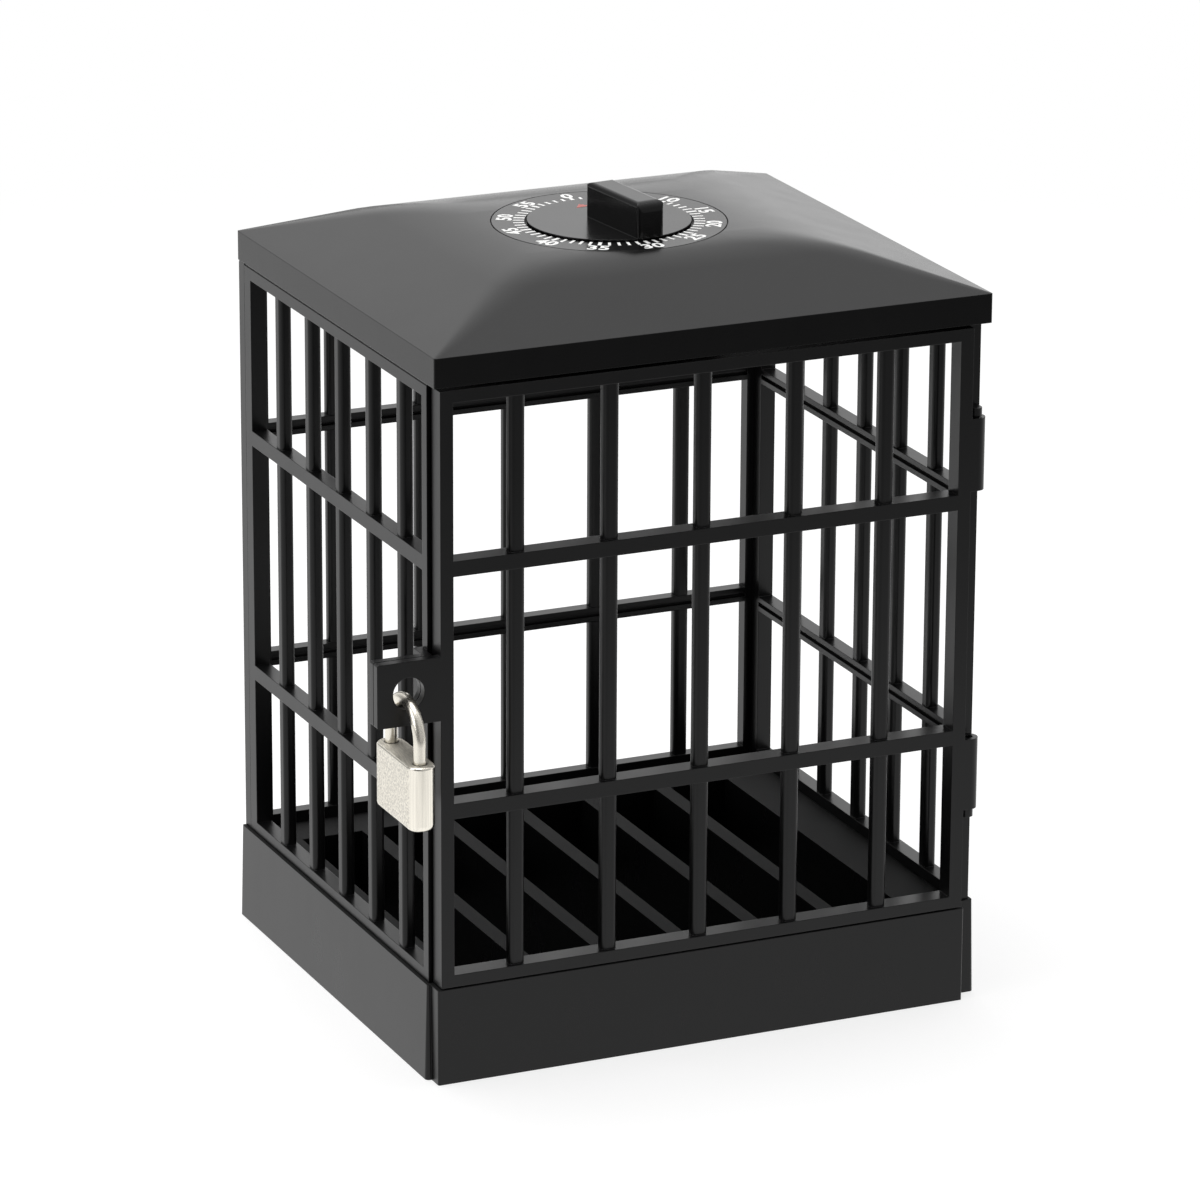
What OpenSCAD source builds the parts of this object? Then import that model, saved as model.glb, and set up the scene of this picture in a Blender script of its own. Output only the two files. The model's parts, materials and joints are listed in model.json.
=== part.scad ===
// Phone jail: a barred cage for phones, with a hinged door, a padlocked hasp and a wind-up timer in its roof.
// Frame: origin at the middle of the underside, +Z up, the door faces -Y. Millimetres.

/* [Box] */
// Width of the base at the top of its skirt
box_w = 146; // [136:0.5:170]
// Depth of the base at the top of its skirt, porch included
box_d = 126.8; // [120:0.1:150]
// Height of the barred walls above the deck
cage_h = 148.4; // [135:0.1:180]

/* [Base] */
// Height of the deck above the ground
base_h = 24.2; // [22:0.1:36]
// Thickness of the skirt
skirt_t = 2.5; // [1.6:0.1:3]
// How far the skirt flares out at its foot
skirt_flare = 0.6; // [0.2:0.1:2]
// Radius of the skirt's corners at the deck
skirt_corner_r = 0.5; // [0.3:0.1:3]
// Thickness of the deck
deck_t = 2.5; // [1.5:0.1:4]
// Depth of the porch under the door
porch_d = 4.8; // [4.4:0.1:6]
// How far the porch's right end stops short of the skirt
porch_short_right = 4.8; // [3:0.1:10]
// How far the porch's left end stops short of the skirt
porch_short_left = 0.8; // [0.2:0.1:3]
// Number of wells that hold a phone each
well_count = 6; // [4:1:6]
// Clear width of a well
well_w = 16.3; // [12:0.1:16.8]
// Thickness of the rib between two wells
well_rib = 4.07; // [3:0.01:4.5]
// Depth of a well below the deck
well_depth = 18; // [12:0.1:19]
// Thickness of the wells' outer walls and floors
well_t = 2; // [1.2:0.1:2.4]
// How far the row of wells lies left of the middle
well_shift = 4; // [0:0.1:4.5]
// Deck left in front of the wells
well_front = 4.6; // [4:0.1:10]
// Deck left behind the wells
well_back = 16.4; // [8:0.1:25]
// Thickness of the stiffening ribs under the wells
under_rib_t = 3; // [2:0.1:5]

/* [Walls] */
// Thickness of the side walls
wall_t = 4; // [3.6:0.1:4.6]
// How far the side walls stand in from the skirt
wall_inset = 0.85; // [0.4:0.05:1.6]
// Thickness of the back wall
back_t = 3.6; // [3.2:0.1:4.4]
// How far the back wall stands in from the skirt
back_inset = 0.4; // [0.1:0.1:0.8]
// Width of a bar
bar_w = 4; // [3:0.1:5]
// Thickness of a bar
bar_d = 3.3; // [2.6:0.1:3.4]
// Radius of a bar's edges
bar_edge_r = 1.2; // [0.4:0.1:1.3]
// Number of bars in each wall and in the door
bar_count = 5; // [3:1:5]
// Spacing of the door's and the back wall's bars
bar_pitch = 24.1; // [20:0.1:26]
// Spacing of the side walls' bars
side_bar_pitch = 19.4; // [16:0.1:22]
// How far the side walls' bars lie behind the middle
side_bar_shift = -0.4; // [-2:0.1:3]
// Height of the two middle rails
rail_h = 3.8; // [3:0.1:6]
// Height of the top rails
top_rail_h = 3; // [2:0.1:5]
// Height of the bottom rails
bottom_rail_h = 3; // [2:0.1:5]
// Lower rail of the door and the back wall, above the deck
front_rail_low = 43; // [30:0.1:60]
// Upper rail of the door and the back wall, above the deck
front_rail_up = 103.1; // [90:0.1:115]
// Lower rail of the side walls, above the deck
side_rail_low = 41.3; // [30:0.1:60]
// Upper rail of the side walls, above the deck
side_rail_up = 102.8; // [90:0.1:115]
// Width of the side walls' front stiles
side_front_stile = 3; // [2.5:0.1:6]
// Width of the side walls' back stiles
side_back_stile = 4; // [3:0.1:8]
// Width of the back wall's stiles
back_stile = 6; // [4:0.1:10]
// Height of the groove along the inner face of a rail
groove_h = 1.1; // [0.6:0.1:1.6]
// Depth of that groove
groove_d = 1.2; // [0.6:0.1:1.6]
// Length of a locating tab
tab_l = 10; // [6:0.5:14]
// Distance of a side wall's tabs from its middle
side_tab_spread = 35.5; // [15:0.5:42]
// Distance of the back wall's tabs from its middle
back_tab_spread = 40.5; // [15:0.5:50]
// Thickness of a bottom tab
tab_t = 1.6; // [1.2:0.1:2]
// How far a bottom tab drops below the deck
tab_drop = 4; // [3:0.1:6]
// Height of a top tab inside the lid
tab_rise = 3.4; // [2:0.1:4.5]
// Play between a tab and its slot
tab_play = 0.1; // [0.05:0.05:0.3]
// Height of the shadow gap between the walls and the lid
shadow_gap = 0.7; // [0.4:0.1:1.2]
// Depth of the shadow gap
shadow_d = 0.2; // [0.1:0.1:0.8]

/* [Door] */
// Thickness of the door
door_t = 5.2; // [4.8:0.1:6]
// How far the door's left edge stands in from the skirt
door_inset = 1.7; // [1:0.1:2]
// Width of the door's left stile
door_left_stile = 3.3; // [3:0.1:8]
// Width of the door's right stile
door_right_stile = 3.4; // [3:0.1:10]
// How far the door's bars lie left of the middle between its stiles
door_bar_shift = 1.05; // [-1:0.05:2]
// How far the door's bars sit behind its face
door_bar_setback = 0.9; // [0.3:0.1:1.2]
// Gap below the door
door_gap = 0.5; // [0.4:0.1:1.2]
// Gap between the door's back and the right wall
door_back_gap = 0.3; // [0.2:0.1:1]
// Gap between the door's back and the left wall
door_left_gap = 0.9; // [0.6:0.1:6]

/* [Hinge] */
// Radius of the hinge barrels
barrel_r = 2.4; // [2.2:0.1:2.6]
// How far the hinge axis lies in from the skirt's right side
hinge_inset = 3.5; // [2.8:0.1:4]
// Gap between the hinge axis and the edge of the door
hinge_edge = 2.03; // [1.6:0.01:2.4]
// Length of a barrel
barrel_l = 18.2; // [10:0.1:22]
// Lower end of the lower barrel, above the deck
barrel_low = 25.7; // [15:0.1:35]
// Lower end of the upper barrel, above the deck
barrel_up = 107.4; // [98:0.1:115]
// Thickness of the lugs that carry the hinge pins
lug_t = 2; // [1.6:0.1:4]
// Radius of the lugs
lug_r = 1.6; // [1.3:0.1:1.8]
// Gap between a lug and its barrel
lug_gap = 0.3; // [0.2:0.1:0.6]
// Radius of the hinge pins
pin_r = 1; // [0.8:0.05:1.2]
// Length of a hinge pin in its barrel
pin_l = 8; // [5:0.1:14]
// Running clearance round a hinge pin
pin_play = 0.06; // [0.03:0.01:0.1]

/* [Hasp] */
// How far the hasp plates reach out from the cage
hasp_reach = 16.1; // [14:0.1:20]
// Height of the hasp plates
hasp_h = 15.8; // [14:0.1:22]
// Thickness of the door's hasp plate
hasp_t = 2.2; // [1.6:0.1:2.4]
// Thickness of the wall's hasp plate
hasp_rear_t = 2; // [1.5:0.1:2.4]
// Gap between the two hasp plates
hasp_gap = 0.3; // [0.2:0.1:0.6]
// Radius of the hasp plates' corners
hasp_corner_r = 0.5; // [0.3:0.1:3]
// Height of the hasp's hole above the deck
hasp_z = 75.9; // [60:0.1:90]
// Distance of the hasp's hole from the cage
hasp_hole_x = 8.1; // [7:0.1:9]
// Radius of the hasp's hole
hasp_hole_r = 4; // [3.6:0.1:4.6]

/* [Lid] */
// Height of the lid's upright edge
eave_h = 7.25; // [5.5:0.05:12]
// Rise of the roof from its edge to the dial
roof_rise = 10.25; // [9:0.05:16]
// Share of each slope that is rounded towards the flat
roof_shoulder = 0.5; // [0.3:0.05:0.8]
// Thickness of the roof
roof_t = 2.4; // [2:0.1:3]
// Thickness of the lid's upright edge
lid_t = 2; // [1.4:0.1:2.2]
// How far the lid stands in from the skirt at each side
lid_inset_x = 0.5; // [0.2:0.1:0.8]
// How far the lid stands in from the skirt at the front and back
lid_inset_y = 0.4; // [0.2:0.1:0.8]
// Radius of the lid's corners
lid_corner_r = 0.5; // [0.3:0.1:2]
// Flat rim of the roof round the dial
plateau_rim = 0.9; // [0.5:0.1:3]

/* [Timer] */
// Radius of the dial
dial_r = 28.6; // [26:0.1:30]
// Thickness of the dial
dial_t = 1; // [0.6:0.1:1.2]
// Gap round the dial in its seat
dial_play = 0.35; // [0.1:0.05:0.4]
// Radius of the knob's disc
knob_r = 20; // [16:0.1:22]
// Gap between the knob's disc and the dial
knob_gap = 0.6; // [0.3:0.1:1]
// Height of the knob's disc above the dial
knob_proud = 0.5; // [0.2:0.1:1.5]
// Running gap under the knob's disc
knob_lift = 0.3; // [0.2:0.1:0.5]
// Width of the knob's grip
grip_w = 7.3; // [6:0.1:9]
// Angle of the grip from straight, at rest
grip_turn = 6; // [0:0.5:12]
// Height of the grip above the dial
grip_h = 9.2; // [6:0.1:14]
// Reach of the grip's front end from the axis
grip_front = 20.3; // [14:0.1:20.5]
// Reach of the grip's back end from the axis
grip_back = 5.3; // [4:0.1:14]
// Thickness of the grip above the arbor's end
grip_roof = 3; // [2:0.1:4]
// Radius of the grip's long edges and corners
grip_edge_r = 1.2; // [0.6:0.1:1.6]
// Radius of the top edges at the grip's two ends
grip_end_r = 2.4; // [1:0.1:3]
// Radius of the main arbor
arbor_r = 2.5; // [2:0.1:2.6]
// Running clearance of the main arbor
arbor_play = 0.08; // [0.04:0.01:0.1]
// Clearance of what is pressed on an arbor
seat_play = 0.02; // [0.01:0.01:0.04]

/* [Timer case] */
// How far the case's wall lies inside the flat of the roof
case_margin = 0.2; // [0.1:0.1:1]
// Thickness of the case
case_t = 1.5; // [1:0.1:2]
// Depth of the case under the roof
case_h = 24.9; // [24.5:0.1:30]
// Width of the ledge that carries the movement
case_ledge = 1.5; // [1:0.1:2]
// Distance of the case's screws from the axis
screw_pcd_r = 31; // [30.5:0.1:33]
// Number of the case's screws
screw_count = 3; // [3:1:4]
// Radius of a screw's shank
screw_r = 1.1; // [0.9:0.05:1.3]
// Radius of a screw's head
screw_head_r = 2.6; // [2.2:0.1:3]
// Height of a screw's head
screw_head_h = 1.8; // [1.2:0.1:2.2]
// Thickness of a lug on the case
case_lug_t = 2; // [1.5:0.1:3]
// Radius of a lug and of its boss on the lid
case_lug_r = 3.2; // [3:0.1:4]
// Length of a boss under the roof
boss_l = 5; // [4:0.1:6]

/* [Movement] */
// Thickness of the movement's plates
plate_t = 1; // [0.8:0.1:1.2]
// Distance between the movement's plates
plate_gap = 14.6; // [14.2:0.1:15]
// Gap between the movement and the roof
plate_headroom = 0.5; // [0.3:0.1:0.8]
// Play of the plates inside the case
plate_play = 0.2; // [0.1:0.05:0.4]
// Radius of a pillar
pillar_r = 1.5; // [1.2:0.1:1.8]
// Radius of a pillar's tenons
tenon_r = 0.9; // [0.6:0.05:1]
// Distance of the pillars from the axis
pillar_pcd_r = 23; // [22.4:0.1:23.2]
// Radius of the wheels' pivots
pivot_r = 0.6; // [0.5:0.05:0.7]
// Running clearance of a pivot
pivot_play = 0.05; // [0.03:0.01:0.1]
// Tooth size of the great wheel and its pinion, as pitch diameter over teeth
great_module = 0.5; // [0.46:0.01:0.52]
// Tooth size of the other wheels
train_module = 0.4; // [0.36:0.01:0.42]
// Teeth of the great wheel
great_teeth = 48; // [44:2:48]
// Teeth of the second and third wheels
train_teeth = 40; // [36:2:40]
// Leaves of each pinion
pinion_leaves = 8; // [8:1:9]
// Least gap between two layers of the movement
layer_gap = 0.4; // [0.3:0.1:0.5]
// Thickness of the great wheel
great_t = 1.5; // [1:0.1:1.8]
// Thickness of the other wheels
wheel_t = 0.9; // [0.6:0.1:1]
// Length of a pinion
pinion_l = 2; // [1.6:0.1:2.2]
// Teeth of the escape wheel
escape_teeth = 15; // [15:1:15]
// Radius of the escape wheel at its points
escape_r = 4.2; // [3.8:0.1:4.4]
// Distance between the escape wheel and the pallet lever
pallet_reach = 5.6; // [5.4:0.1:6]
// Radius of the pallet pins
pallet_pin_r = 0.3; // [0.2:0.05:0.35]
// Height of the mainspring's strip
spring_h = 4.6; // [3:0.1:4.8]
// Thickness of the mainspring's strip
spring_t = 0.35; // [0.2:0.05:0.45]
// Turns of the mainspring
spring_turns = 9; // [5:1:11]
// Outer radius of the mainspring
spring_r = 12.2; // [10:0.1:12.4]
// Radius of the bell's rim
bell_r = 22.5; // [20:0.1:23]
// Thickness of the bell
bell_t = 0.8; // [0.5:0.1:1]

/* [Padlock] */
// Thickness of the shackle's wire
wire_d = 3; // [2.4:0.1:3.2]
// Spacing of the shackle's legs
leg_spacing = 17.4; // [15:0.1:20]
// Drop of the wire's crown from the hasp hole's lower rim
hang_play = 0.45; // [0.4:0.05:0.6]
// Length of the legs between the bow and the body
leg_l = 4.55; // [3.5:0.05:10]
// Length of the lock's body
lock_l = 24.4; // [23.5:0.1:28]
// Thickness of the lock's body
lock_t = 7; // [6.8:0.1:9]
// Height of the lock's body
lock_h = 16.2; // [15.5:0.1:24]
// Radius of the body's bottom edges
lock_bottom_r = 1.5; // [0.8:0.1:2]
// Radius of the body's top edges
lock_top_r = 0.6; // [0.3:0.1:1]
// Running clearance of the shackle's legs and of the plug
lock_play = 0.08; // [0.04:0.01:0.1]
// Depth of the short leg in the body
toe_l = 4.2; // [3.8:0.1:4.4]
// Depth of the long leg in the body
heel_l = 10; // [9:0.1:11]
// Radius of the key plug
plug_r = 2.6; // [2.2:0.05:2.65]
// Radius of the bolt
bolt_r = 1.2; // [1:0.05:1.2]
// Travel of the bolt
bolt_travel = 0.9; // [0.7:0.05:1]

/* [Hidden] */
$fn = 64;
// Segments of the roof's wide arcs
slope_fn = 360;
// Height by which a shoulder's arc would pass over the flat and the slope that it joins
shoulder_cut = 0.04;
// Overlap of solids that are joined, and overrun of cuts
join = 0.2;
black = "#1c1c1d";
charcoal = "#2b2b2c";
nickel = "#b9bbbd";
steel = "#8e9194";
brass = "#b8963e";

// Small sizes of the timer
// Angle of the first case screw
first_screw = 45;
// Clearance of a hole that a screw passes
screw_pass = 0.3;
// Roof left over a case screw's tip, and floor left under the bell screw's tip
tip_cover = 2;
bell_tip_cover = 0.6;
// Boss under the bell, the bell's straight rim and its gap to the movement
bell_boss_r = 3;
bell_boss_h = 1;
bell_rim_h = 2;
bell_gap = 1;
// Bell screw's head and the length of its thread in the boss
bell_head_h = 1;
bell_thread_l = 1.5;
// Angles of the pillars, and of the third and escape arbors from the arbor before
pillar_angles = [60, 200, 320];
third_turn = 70;
escape_turn = 60;
// Height of the third wheel over the base plate, and of the second wheel over the third
third_rise = 1.5;
second_rise = 1.6;
// Wheels: spokes, hubs and depth of the rim in modules
spoke_w = 1.4;
hub_r = 1.8;
great_hub_t = 1.6;
rim_modules = 3;
// Escape wheel's tooth depth, and the play of the pallet pins
escape_depth = 1.2;
pallet_gap = 0.1;
// Pallet lever: hub, arms, reach of its weights and how far its pins pass the escape wheel
lever_hub_r = 1.4;
lever_w = 1.2;
lever_reach = 5;
pallet_pin_drop = 0.2;
// Mainspring's gap to the arbor, and the post for its outer end
spring_start = 0.4;
post_r = 0.7;
post_gap = 1;
// Cam on the main arbor: height over the arbor, thickness, notch and what is left under it
cam_rise = 1.5;
cam_t = 1;
cam_notch_w = 2;
cam_notch_floor = 0.3;
// Hammer: place of its pivot, drop under the base plate, arm, tail and head
hammer_at = [14, -10];
hammer_drop = 2;
hammer_top = 1;
arm_w = 1;
arm_t = 1;
tail_t = 0.8;
head_r = 1.8;
head_gap = 0.4;
head_angle = 20;

// Small sizes of the padlock
// Room under the legs' ends, and round the bolt in the short leg's notch
leg_room = 0.4;
notch_room = 0.2;
notch_depth = 0.3;
// Height of the bolt over the short leg's end, and its reach past the plug's axis
bolt_rise = 1.4;
bolt_reach = 2.6;
// Gap between the plug and the bolt, and round the cam pin
plug_gap = 0.2;
plug_room = 0.1;
cam_pin_r = 0.5;
cam_slot_play = 0.7;
// Keyway: width, and its length and depth as shares of the plug's width and the body's height
keyway_w = 1;
keyway_long = 0.65;
keyway_deep = 0.55;
// Bolt spring: turns, wire radius, play in the bore and gap at each end
coil_turns = 6;
coil_wire_r = 0.15;
coil_play = 0.1;
coil_gap = 0.3;

// Planes and places of the box
side_x = box_w / 2;
front_y = -box_d / 2;
back_y = box_d / 2;
main_front = front_y + porch_d;
porch_x0 = -side_x + porch_short_left;
porch_x1 = side_x - porch_short_right;
wall_top = base_h + cage_h;
lid_z = wall_top + shadow_gap;
wall_x = side_x - wall_inset;
back_wall_y = back_y - back_inset;
side_back_end = back_wall_y - back_t - tab_play;

// Door and hinge
door_x = side_x - door_inset;
door_back = front_y + door_t;
door_z = base_h + door_gap;
hinge_x = side_x - hinge_inset;
hinge_y = front_y + barrel_r;
door_right = hinge_x - hinge_edge;
left_front = door_back + door_left_gap;
right_front = door_back + door_back_gap;
barrel_low_z = base_h + barrel_low;
barrel_up_z = base_h + barrel_up;

// Hasp
hasp_x = -door_x - hasp_hole_x;
hasp_hole_z = base_h + hasp_z;
hasp_rear_y = front_y + hasp_t + hasp_gap;

// Lid and timer
lid_x = side_x - lid_inset_x;
lid_y = back_y - lid_inset_y;
eave_z = lid_z + eave_h;
dial_z = eave_z + roof_rise;
ceiling_z = dial_z - roof_t;
dial_seat_z = dial_z - dial_t;
plateau_r = dial_r + plateau_rim;
ceiling_r = plateau_r - lid_t;
knob_top = dial_z + knob_proud;
arbor_top_z = dial_z + grip_h - grip_roof;

// Timer case and movement
case_r = ceiling_r - case_margin;
case_in_r = case_r - case_t;
case_bottom = ceiling_z - case_h;
top_plate_z = ceiling_z - plate_headroom - plate_t;
base_plate_z = top_plate_z - plate_gap - plate_t;
floor_z = base_plate_z + plate_t;
lug_z = ceiling_z - boss_l - case_lug_t;
screw_hole_r = screw_r + screw_pass;
bell_seat_z = case_bottom + case_t + bell_boss_h;
plate_r = case_in_r - plate_play;

// Gear train, each arbor placed at its mesh with the one before
second_at = [-(great_teeth + pinion_leaves) * great_module / 2, 0];
train_reach = (train_teeth + pinion_leaves) * train_module / 2;
third_at = second_at + train_reach * [cos(third_turn), sin(third_turn)];
escape_at = third_at + train_reach * [cos(escape_turn), sin(escape_turn)];
pallet_at = escape_at + [pallet_reach, 0];
third_z = floor_z + third_rise;
second_z = third_z + wheel_t + second_rise;
escape_z = second_z;
lever_z = escape_z + wheel_t + layer_gap;
great_z = lever_z + wheel_t + layer_gap;
spring_z = top_plate_z - layer_gap - spring_h;
cam_r = arbor_r + cam_rise;
cam_z = floor_z + layer_gap / 2;

// Tooth outlines: height above the pitch circle and half width, in modules
wheel_tooth = [[-1.3, 0.95], [0, 0.78], [1.05, 0.19]];
pinion_tooth = [[-1.6, 0.3], [0, 0.64], [0.6, 0.16]];

// Padlock, hung with its wire on the lower rims of the hasp's holes
wire_r = wire_d / 2;
bow_r = leg_spacing / 2;
lock_y = (front_y + hasp_rear_y + hasp_rear_t) / 2;
bow_z = hasp_hole_z - (hasp_hole_r - wire_r - hang_play) - bow_r;
lock_top = bow_z - leg_l;
lock_bottom = lock_top - lock_h;
toe_y = lock_y - bow_r;
heel_y = lock_y + bow_r;
bolt_z = lock_top - toe_l + bolt_rise;
bolt_nose = toe_y + wire_r + lock_play;
bolt_tail = lock_y + bolt_reach;
plug_top = bolt_z - bolt_r - plug_gap;
cam_top = bolt_z + plug_gap;

// Rectangle with rounded corners, about its centre
module rounded_rect(w, d, r) {
    square([w - 2 * r, d], center = true);
    square([w, d - 2 * r], center = true);
    for (x = [-1, 1], y = [-1, 1])
        translate([x * (w / 2 - r), y * (d / 2 - r)])
            circle(r);
}

// Rectangle standing on the x axis, its two top corners rounded
module arched_rect(w, h, r) {
    translate([-w / 2, 0])
        square([w, h - r]);
    translate([r - w / 2, 0])
        square([w - 2 * r, h]);
    for (x = [-1, 1])
        translate([x * (w / 2 - r), h - r])
            circle(r);
}

// Box from x0 to x1 and y0 to y1, whose sides flare out towards the ground
module flared_box(x0, x1, y0, y1, h, r, flare) {
    wide = (x1 - x0) / 2 - r;
    deep = (y1 - y0) / 2 - r;
    translate([(x0 + x1) / 2, (y0 + y1) / 2, 0]) {
        for (x = [-wide, wide], y = [-deep, deep])
            translate([x, y, 0])
                cylinder(h = h, r1 = r + flare, r2 = r);
        rotate([90, 0, 0])
            translate([0, 0, -deep])
                linear_extrude(2 * deep)
                    flare_outline(wide + r, h, flare);
        rotate([90, 0, 90])
            translate([0, 0, -wide])
                linear_extrude(2 * wide)
                    flare_outline(deep + r, h, flare);
    }
}

module flare_outline(half, h, flare) {
    polygon([[-half - flare, 0], [half + flare, 0], [half, h], [-half, h]]);
}

// Places of a row of n things, about its middle
function row(n, pitch, middle = 0) = [for (i = [0:n - 1]) middle + (i - (n - 1) / 2) * pitch];

// Barred panel: x runs along it, its outer face lies at y = 0 and its inner face at y = t
module panel(x0, x1, z0, z1, t, stiles, low, up, bars, setback) {
    middle_rails = [base_h + low, base_h + up];
    difference() {
        union() {
            translate([x0, 0, z0])
                cube([stiles[0], t, z1 - z0]);
            translate([x1 - stiles[1], 0, z0])
                cube([stiles[1], t, z1 - z0]);
            translate([x0, 0, z0])
                cube([x1 - x0, t, bottom_rail_h]);
            translate([x0, 0, z1 - top_rail_h])
                cube([x1 - x0, t, top_rail_h]);
            for (z = middle_rails)
                translate([x0, 0, z])
                    cube([x1 - x0, t, rail_h]);
            for (x = bars)
                translate([x, setback + bar_d / 2, z0])
                    linear_extrude(z1 - z0)
                        rounded_rect(bar_w, bar_d, bar_edge_r);
        }
        for (z = middle_rails)
            translate([x0 + stiles[0], t - groove_d, z + (rail_h - groove_h) / 2])
                cube([x1 - x0 - stiles[0] - stiles[1], groove_d + join, groove_h]);
    }
}

// Ledge that carries the lid's edge, and the tabs above and below a panel
module panel_fittings(x0, x1, t, tabs, lid_face) {
    translate([x0, shadow_d, wall_top - join])
        cube([x1 - x0, t - shadow_d, shadow_gap + join]);
    for (x = tabs) {
        translate([x - tab_l / 2, lid_face + tab_play, wall_top])
            cube([tab_l, t - lid_face - tab_play, shadow_gap + tab_rise]);
        translate([x - tab_l / 2, t - tab_t, base_h - tab_drop])
            cube([tab_l, tab_t, tab_drop + join]);
    }
}

// Slots in the deck for a panel's bottom tabs
module tab_slots(t, tabs) {
    for (x = tabs)
        translate([x - tab_l / 2 - tab_play, t - tab_t - tab_play, base_h - tab_drop - tab_play])
            cube([tab_l + 2 * tab_play, tab_t + 2 * tab_play, tab_drop + 1]);
}

// Moves a panel drawn along x to the left wall's place: x runs towards -Y there
module to_left() {
    translate([-wall_x, 0, 0])
        rotate([0, 0, -90])
            children();
}

// Moves a panel drawn along x to the back wall's place
module to_back() {
    translate([0, back_wall_y, 0])
        rotate([0, 0, 180])
            children();
}

side_tabs = [-side_tab_spread, side_tab_spread];
back_tabs = [-back_tab_spread, back_tab_spread];
side_lid_face = wall_x - (lid_x - lid_t);
back_lid_face = back_wall_y - (lid_y - lid_t);

module side_panel(front_end) {
    x0 = -side_back_end;
    x1 = -front_end;
    to_left() {
        panel(x0, x1, base_h, wall_top, wall_t, [side_back_stile, side_front_stile],
            side_rail_low, side_rail_up, row(bar_count, side_bar_pitch, -side_bar_shift),
            (wall_t - bar_d) / 2);
        panel_fittings(x0, x1, wall_t, side_tabs, side_lid_face);
    }
}

// Hasp plate standing out from the cage's left edge, with its hole
module hasp_plate(y0, t, inner_x) {
    outer_x = -door_x - hasp_reach;
    difference() {
        translate([0, y0 + t, hasp_hole_z])
            rotate([90, 0, 0])
                linear_extrude(t)
                    hasp_outline(outer_x, inner_x);
        translate([hasp_x, y0 - join, hasp_hole_z])
            rotate([-90, 0, 0])
                cylinder(h = t + 2 * join, r = hasp_hole_r);
    }
}

module hasp_outline(outer_x, inner_x) {
    translate([outer_x + hasp_corner_r, -hasp_h / 2])
        square([inner_x - outer_x - hasp_corner_r, hasp_h]);
    translate([outer_x, -hasp_h / 2 + hasp_corner_r])
        square([hasp_corner_r * 2, hasp_h - 2 * hasp_corner_r]);
    for (z = [-1, 1])
        translate([outer_x + hasp_corner_r, z * (hasp_h / 2 - hasp_corner_r)])
            circle(hasp_corner_r);
}

module base() {
    row_w = well_count * well_w + (well_count - 1) * well_rib;
    wells_y0 = main_front + well_front;
    wells_l = back_y - well_back - wells_y0;
    floor_under = base_h - well_depth - well_t;
    color(black)
        difference() {
            union() {
                difference() {
                    union() {
                        flared_box(-side_x, side_x, main_front, back_y, base_h, skirt_corner_r, skirt_flare);
                        porch();
                    }
                    translate([-side_x + skirt_t, main_front + skirt_t, -1])
                        cube([box_w - 2 * skirt_t, back_y - main_front - 2 * skirt_t, base_h - deck_t + 1]);
                    translate([porch_x0 + skirt_t, front_y + skirt_t, -1])
                        cube([porch_x1 - porch_x0 - 2 * skirt_t, porch_d + join, base_h - deck_t + 1]);
                }
                translate([-well_shift - row_w / 2 - well_t, wells_y0 - well_t, floor_under])
                    cube([row_w + 2 * well_t, wells_l + 2 * well_t, base_h - floor_under - deck_t / 2]);
                translate([-under_rib_t / 2, main_front + skirt_t - join, 0])
                    cube([under_rib_t, back_y - main_front - 2 * skirt_t + 2 * join, floor_under + join]);
                translate([-side_x + skirt_t - join, -under_rib_t / 2, 0])
                    cube([box_w - 2 * skirt_t + 2 * join, under_rib_t, floor_under + join]);
            }
            for (x = row(well_count, well_w + well_rib, -well_shift))
                translate([x - well_w / 2, wells_y0, base_h - well_depth])
                    cube([well_w, wells_l, well_depth + 1]);
            to_left()
                tab_slots(wall_t, side_tabs);
            mirror([1, 0, 0])
                to_left()
                    tab_slots(wall_t, side_tabs);
            to_back()
                tab_slots(back_t, back_tabs);
        }
}

// Step in front of the box, under the door
module porch() {
    depth = porch_d + skirt_t;
    translate([(porch_x0 + porch_x1) / 2, front_y + depth / 2, 0])
        linear_extrude(base_h)
            rounded_rect(porch_x1 - porch_x0, depth, skirt_corner_r);
}

module left_wall() {
    web_t = 2;
    web_x = -wall_x - hasp_gap;
    color(black) {
        side_panel(left_front);
        hasp_plate(hasp_rear_y, hasp_rear_t, web_x);
        translate([web_x - web_t, hasp_rear_y, hasp_hole_z - hasp_h / 2])
            cube([web_t, left_front - hasp_rear_y + side_front_stile, hasp_h]);
        translate([web_x - web_t, left_front, hasp_hole_z - hasp_h / 2])
            cube([web_t + hasp_gap + join, side_front_stile, hasp_h]);
    }
}

module right_wall() {
    color(black) {
        mirror([1, 0, 0])
            side_panel(right_front);
        hinge_lug(barrel_up_z + barrel_l + lug_gap, -1);
        hinge_lug(barrel_low_z - lug_gap - lug_t, 1);
    }
}

// Lug on the right wall with a stub pin: way is 1 for a pin that points up, -1 for one that points down
module hinge_lug(z, way) {
    pin_z = way > 0 ? z + lug_t - join : z - lug_gap - pin_l;
    translate([hinge_x, hinge_y, z])
        cylinder(h = lug_t, r = lug_r);
    translate([hinge_x - lug_r, hinge_y, z])
        cube([2 * lug_r, right_front - hinge_y + join, lug_t]);
    translate([hinge_x, hinge_y, pin_z])
        cylinder(h = pin_l + lug_gap + join, r = pin_r);
}

module back_wall() {
    color(black)
        to_back() {
            panel(-wall_x, wall_x, base_h, wall_top, back_t, [back_stile, back_stile],
                front_rail_low, front_rail_up, row(bar_count, bar_pitch), (back_t - bar_d) / 2);
            panel_fittings(-wall_x, wall_x, back_t, back_tabs, back_lid_face);
        }
}

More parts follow.
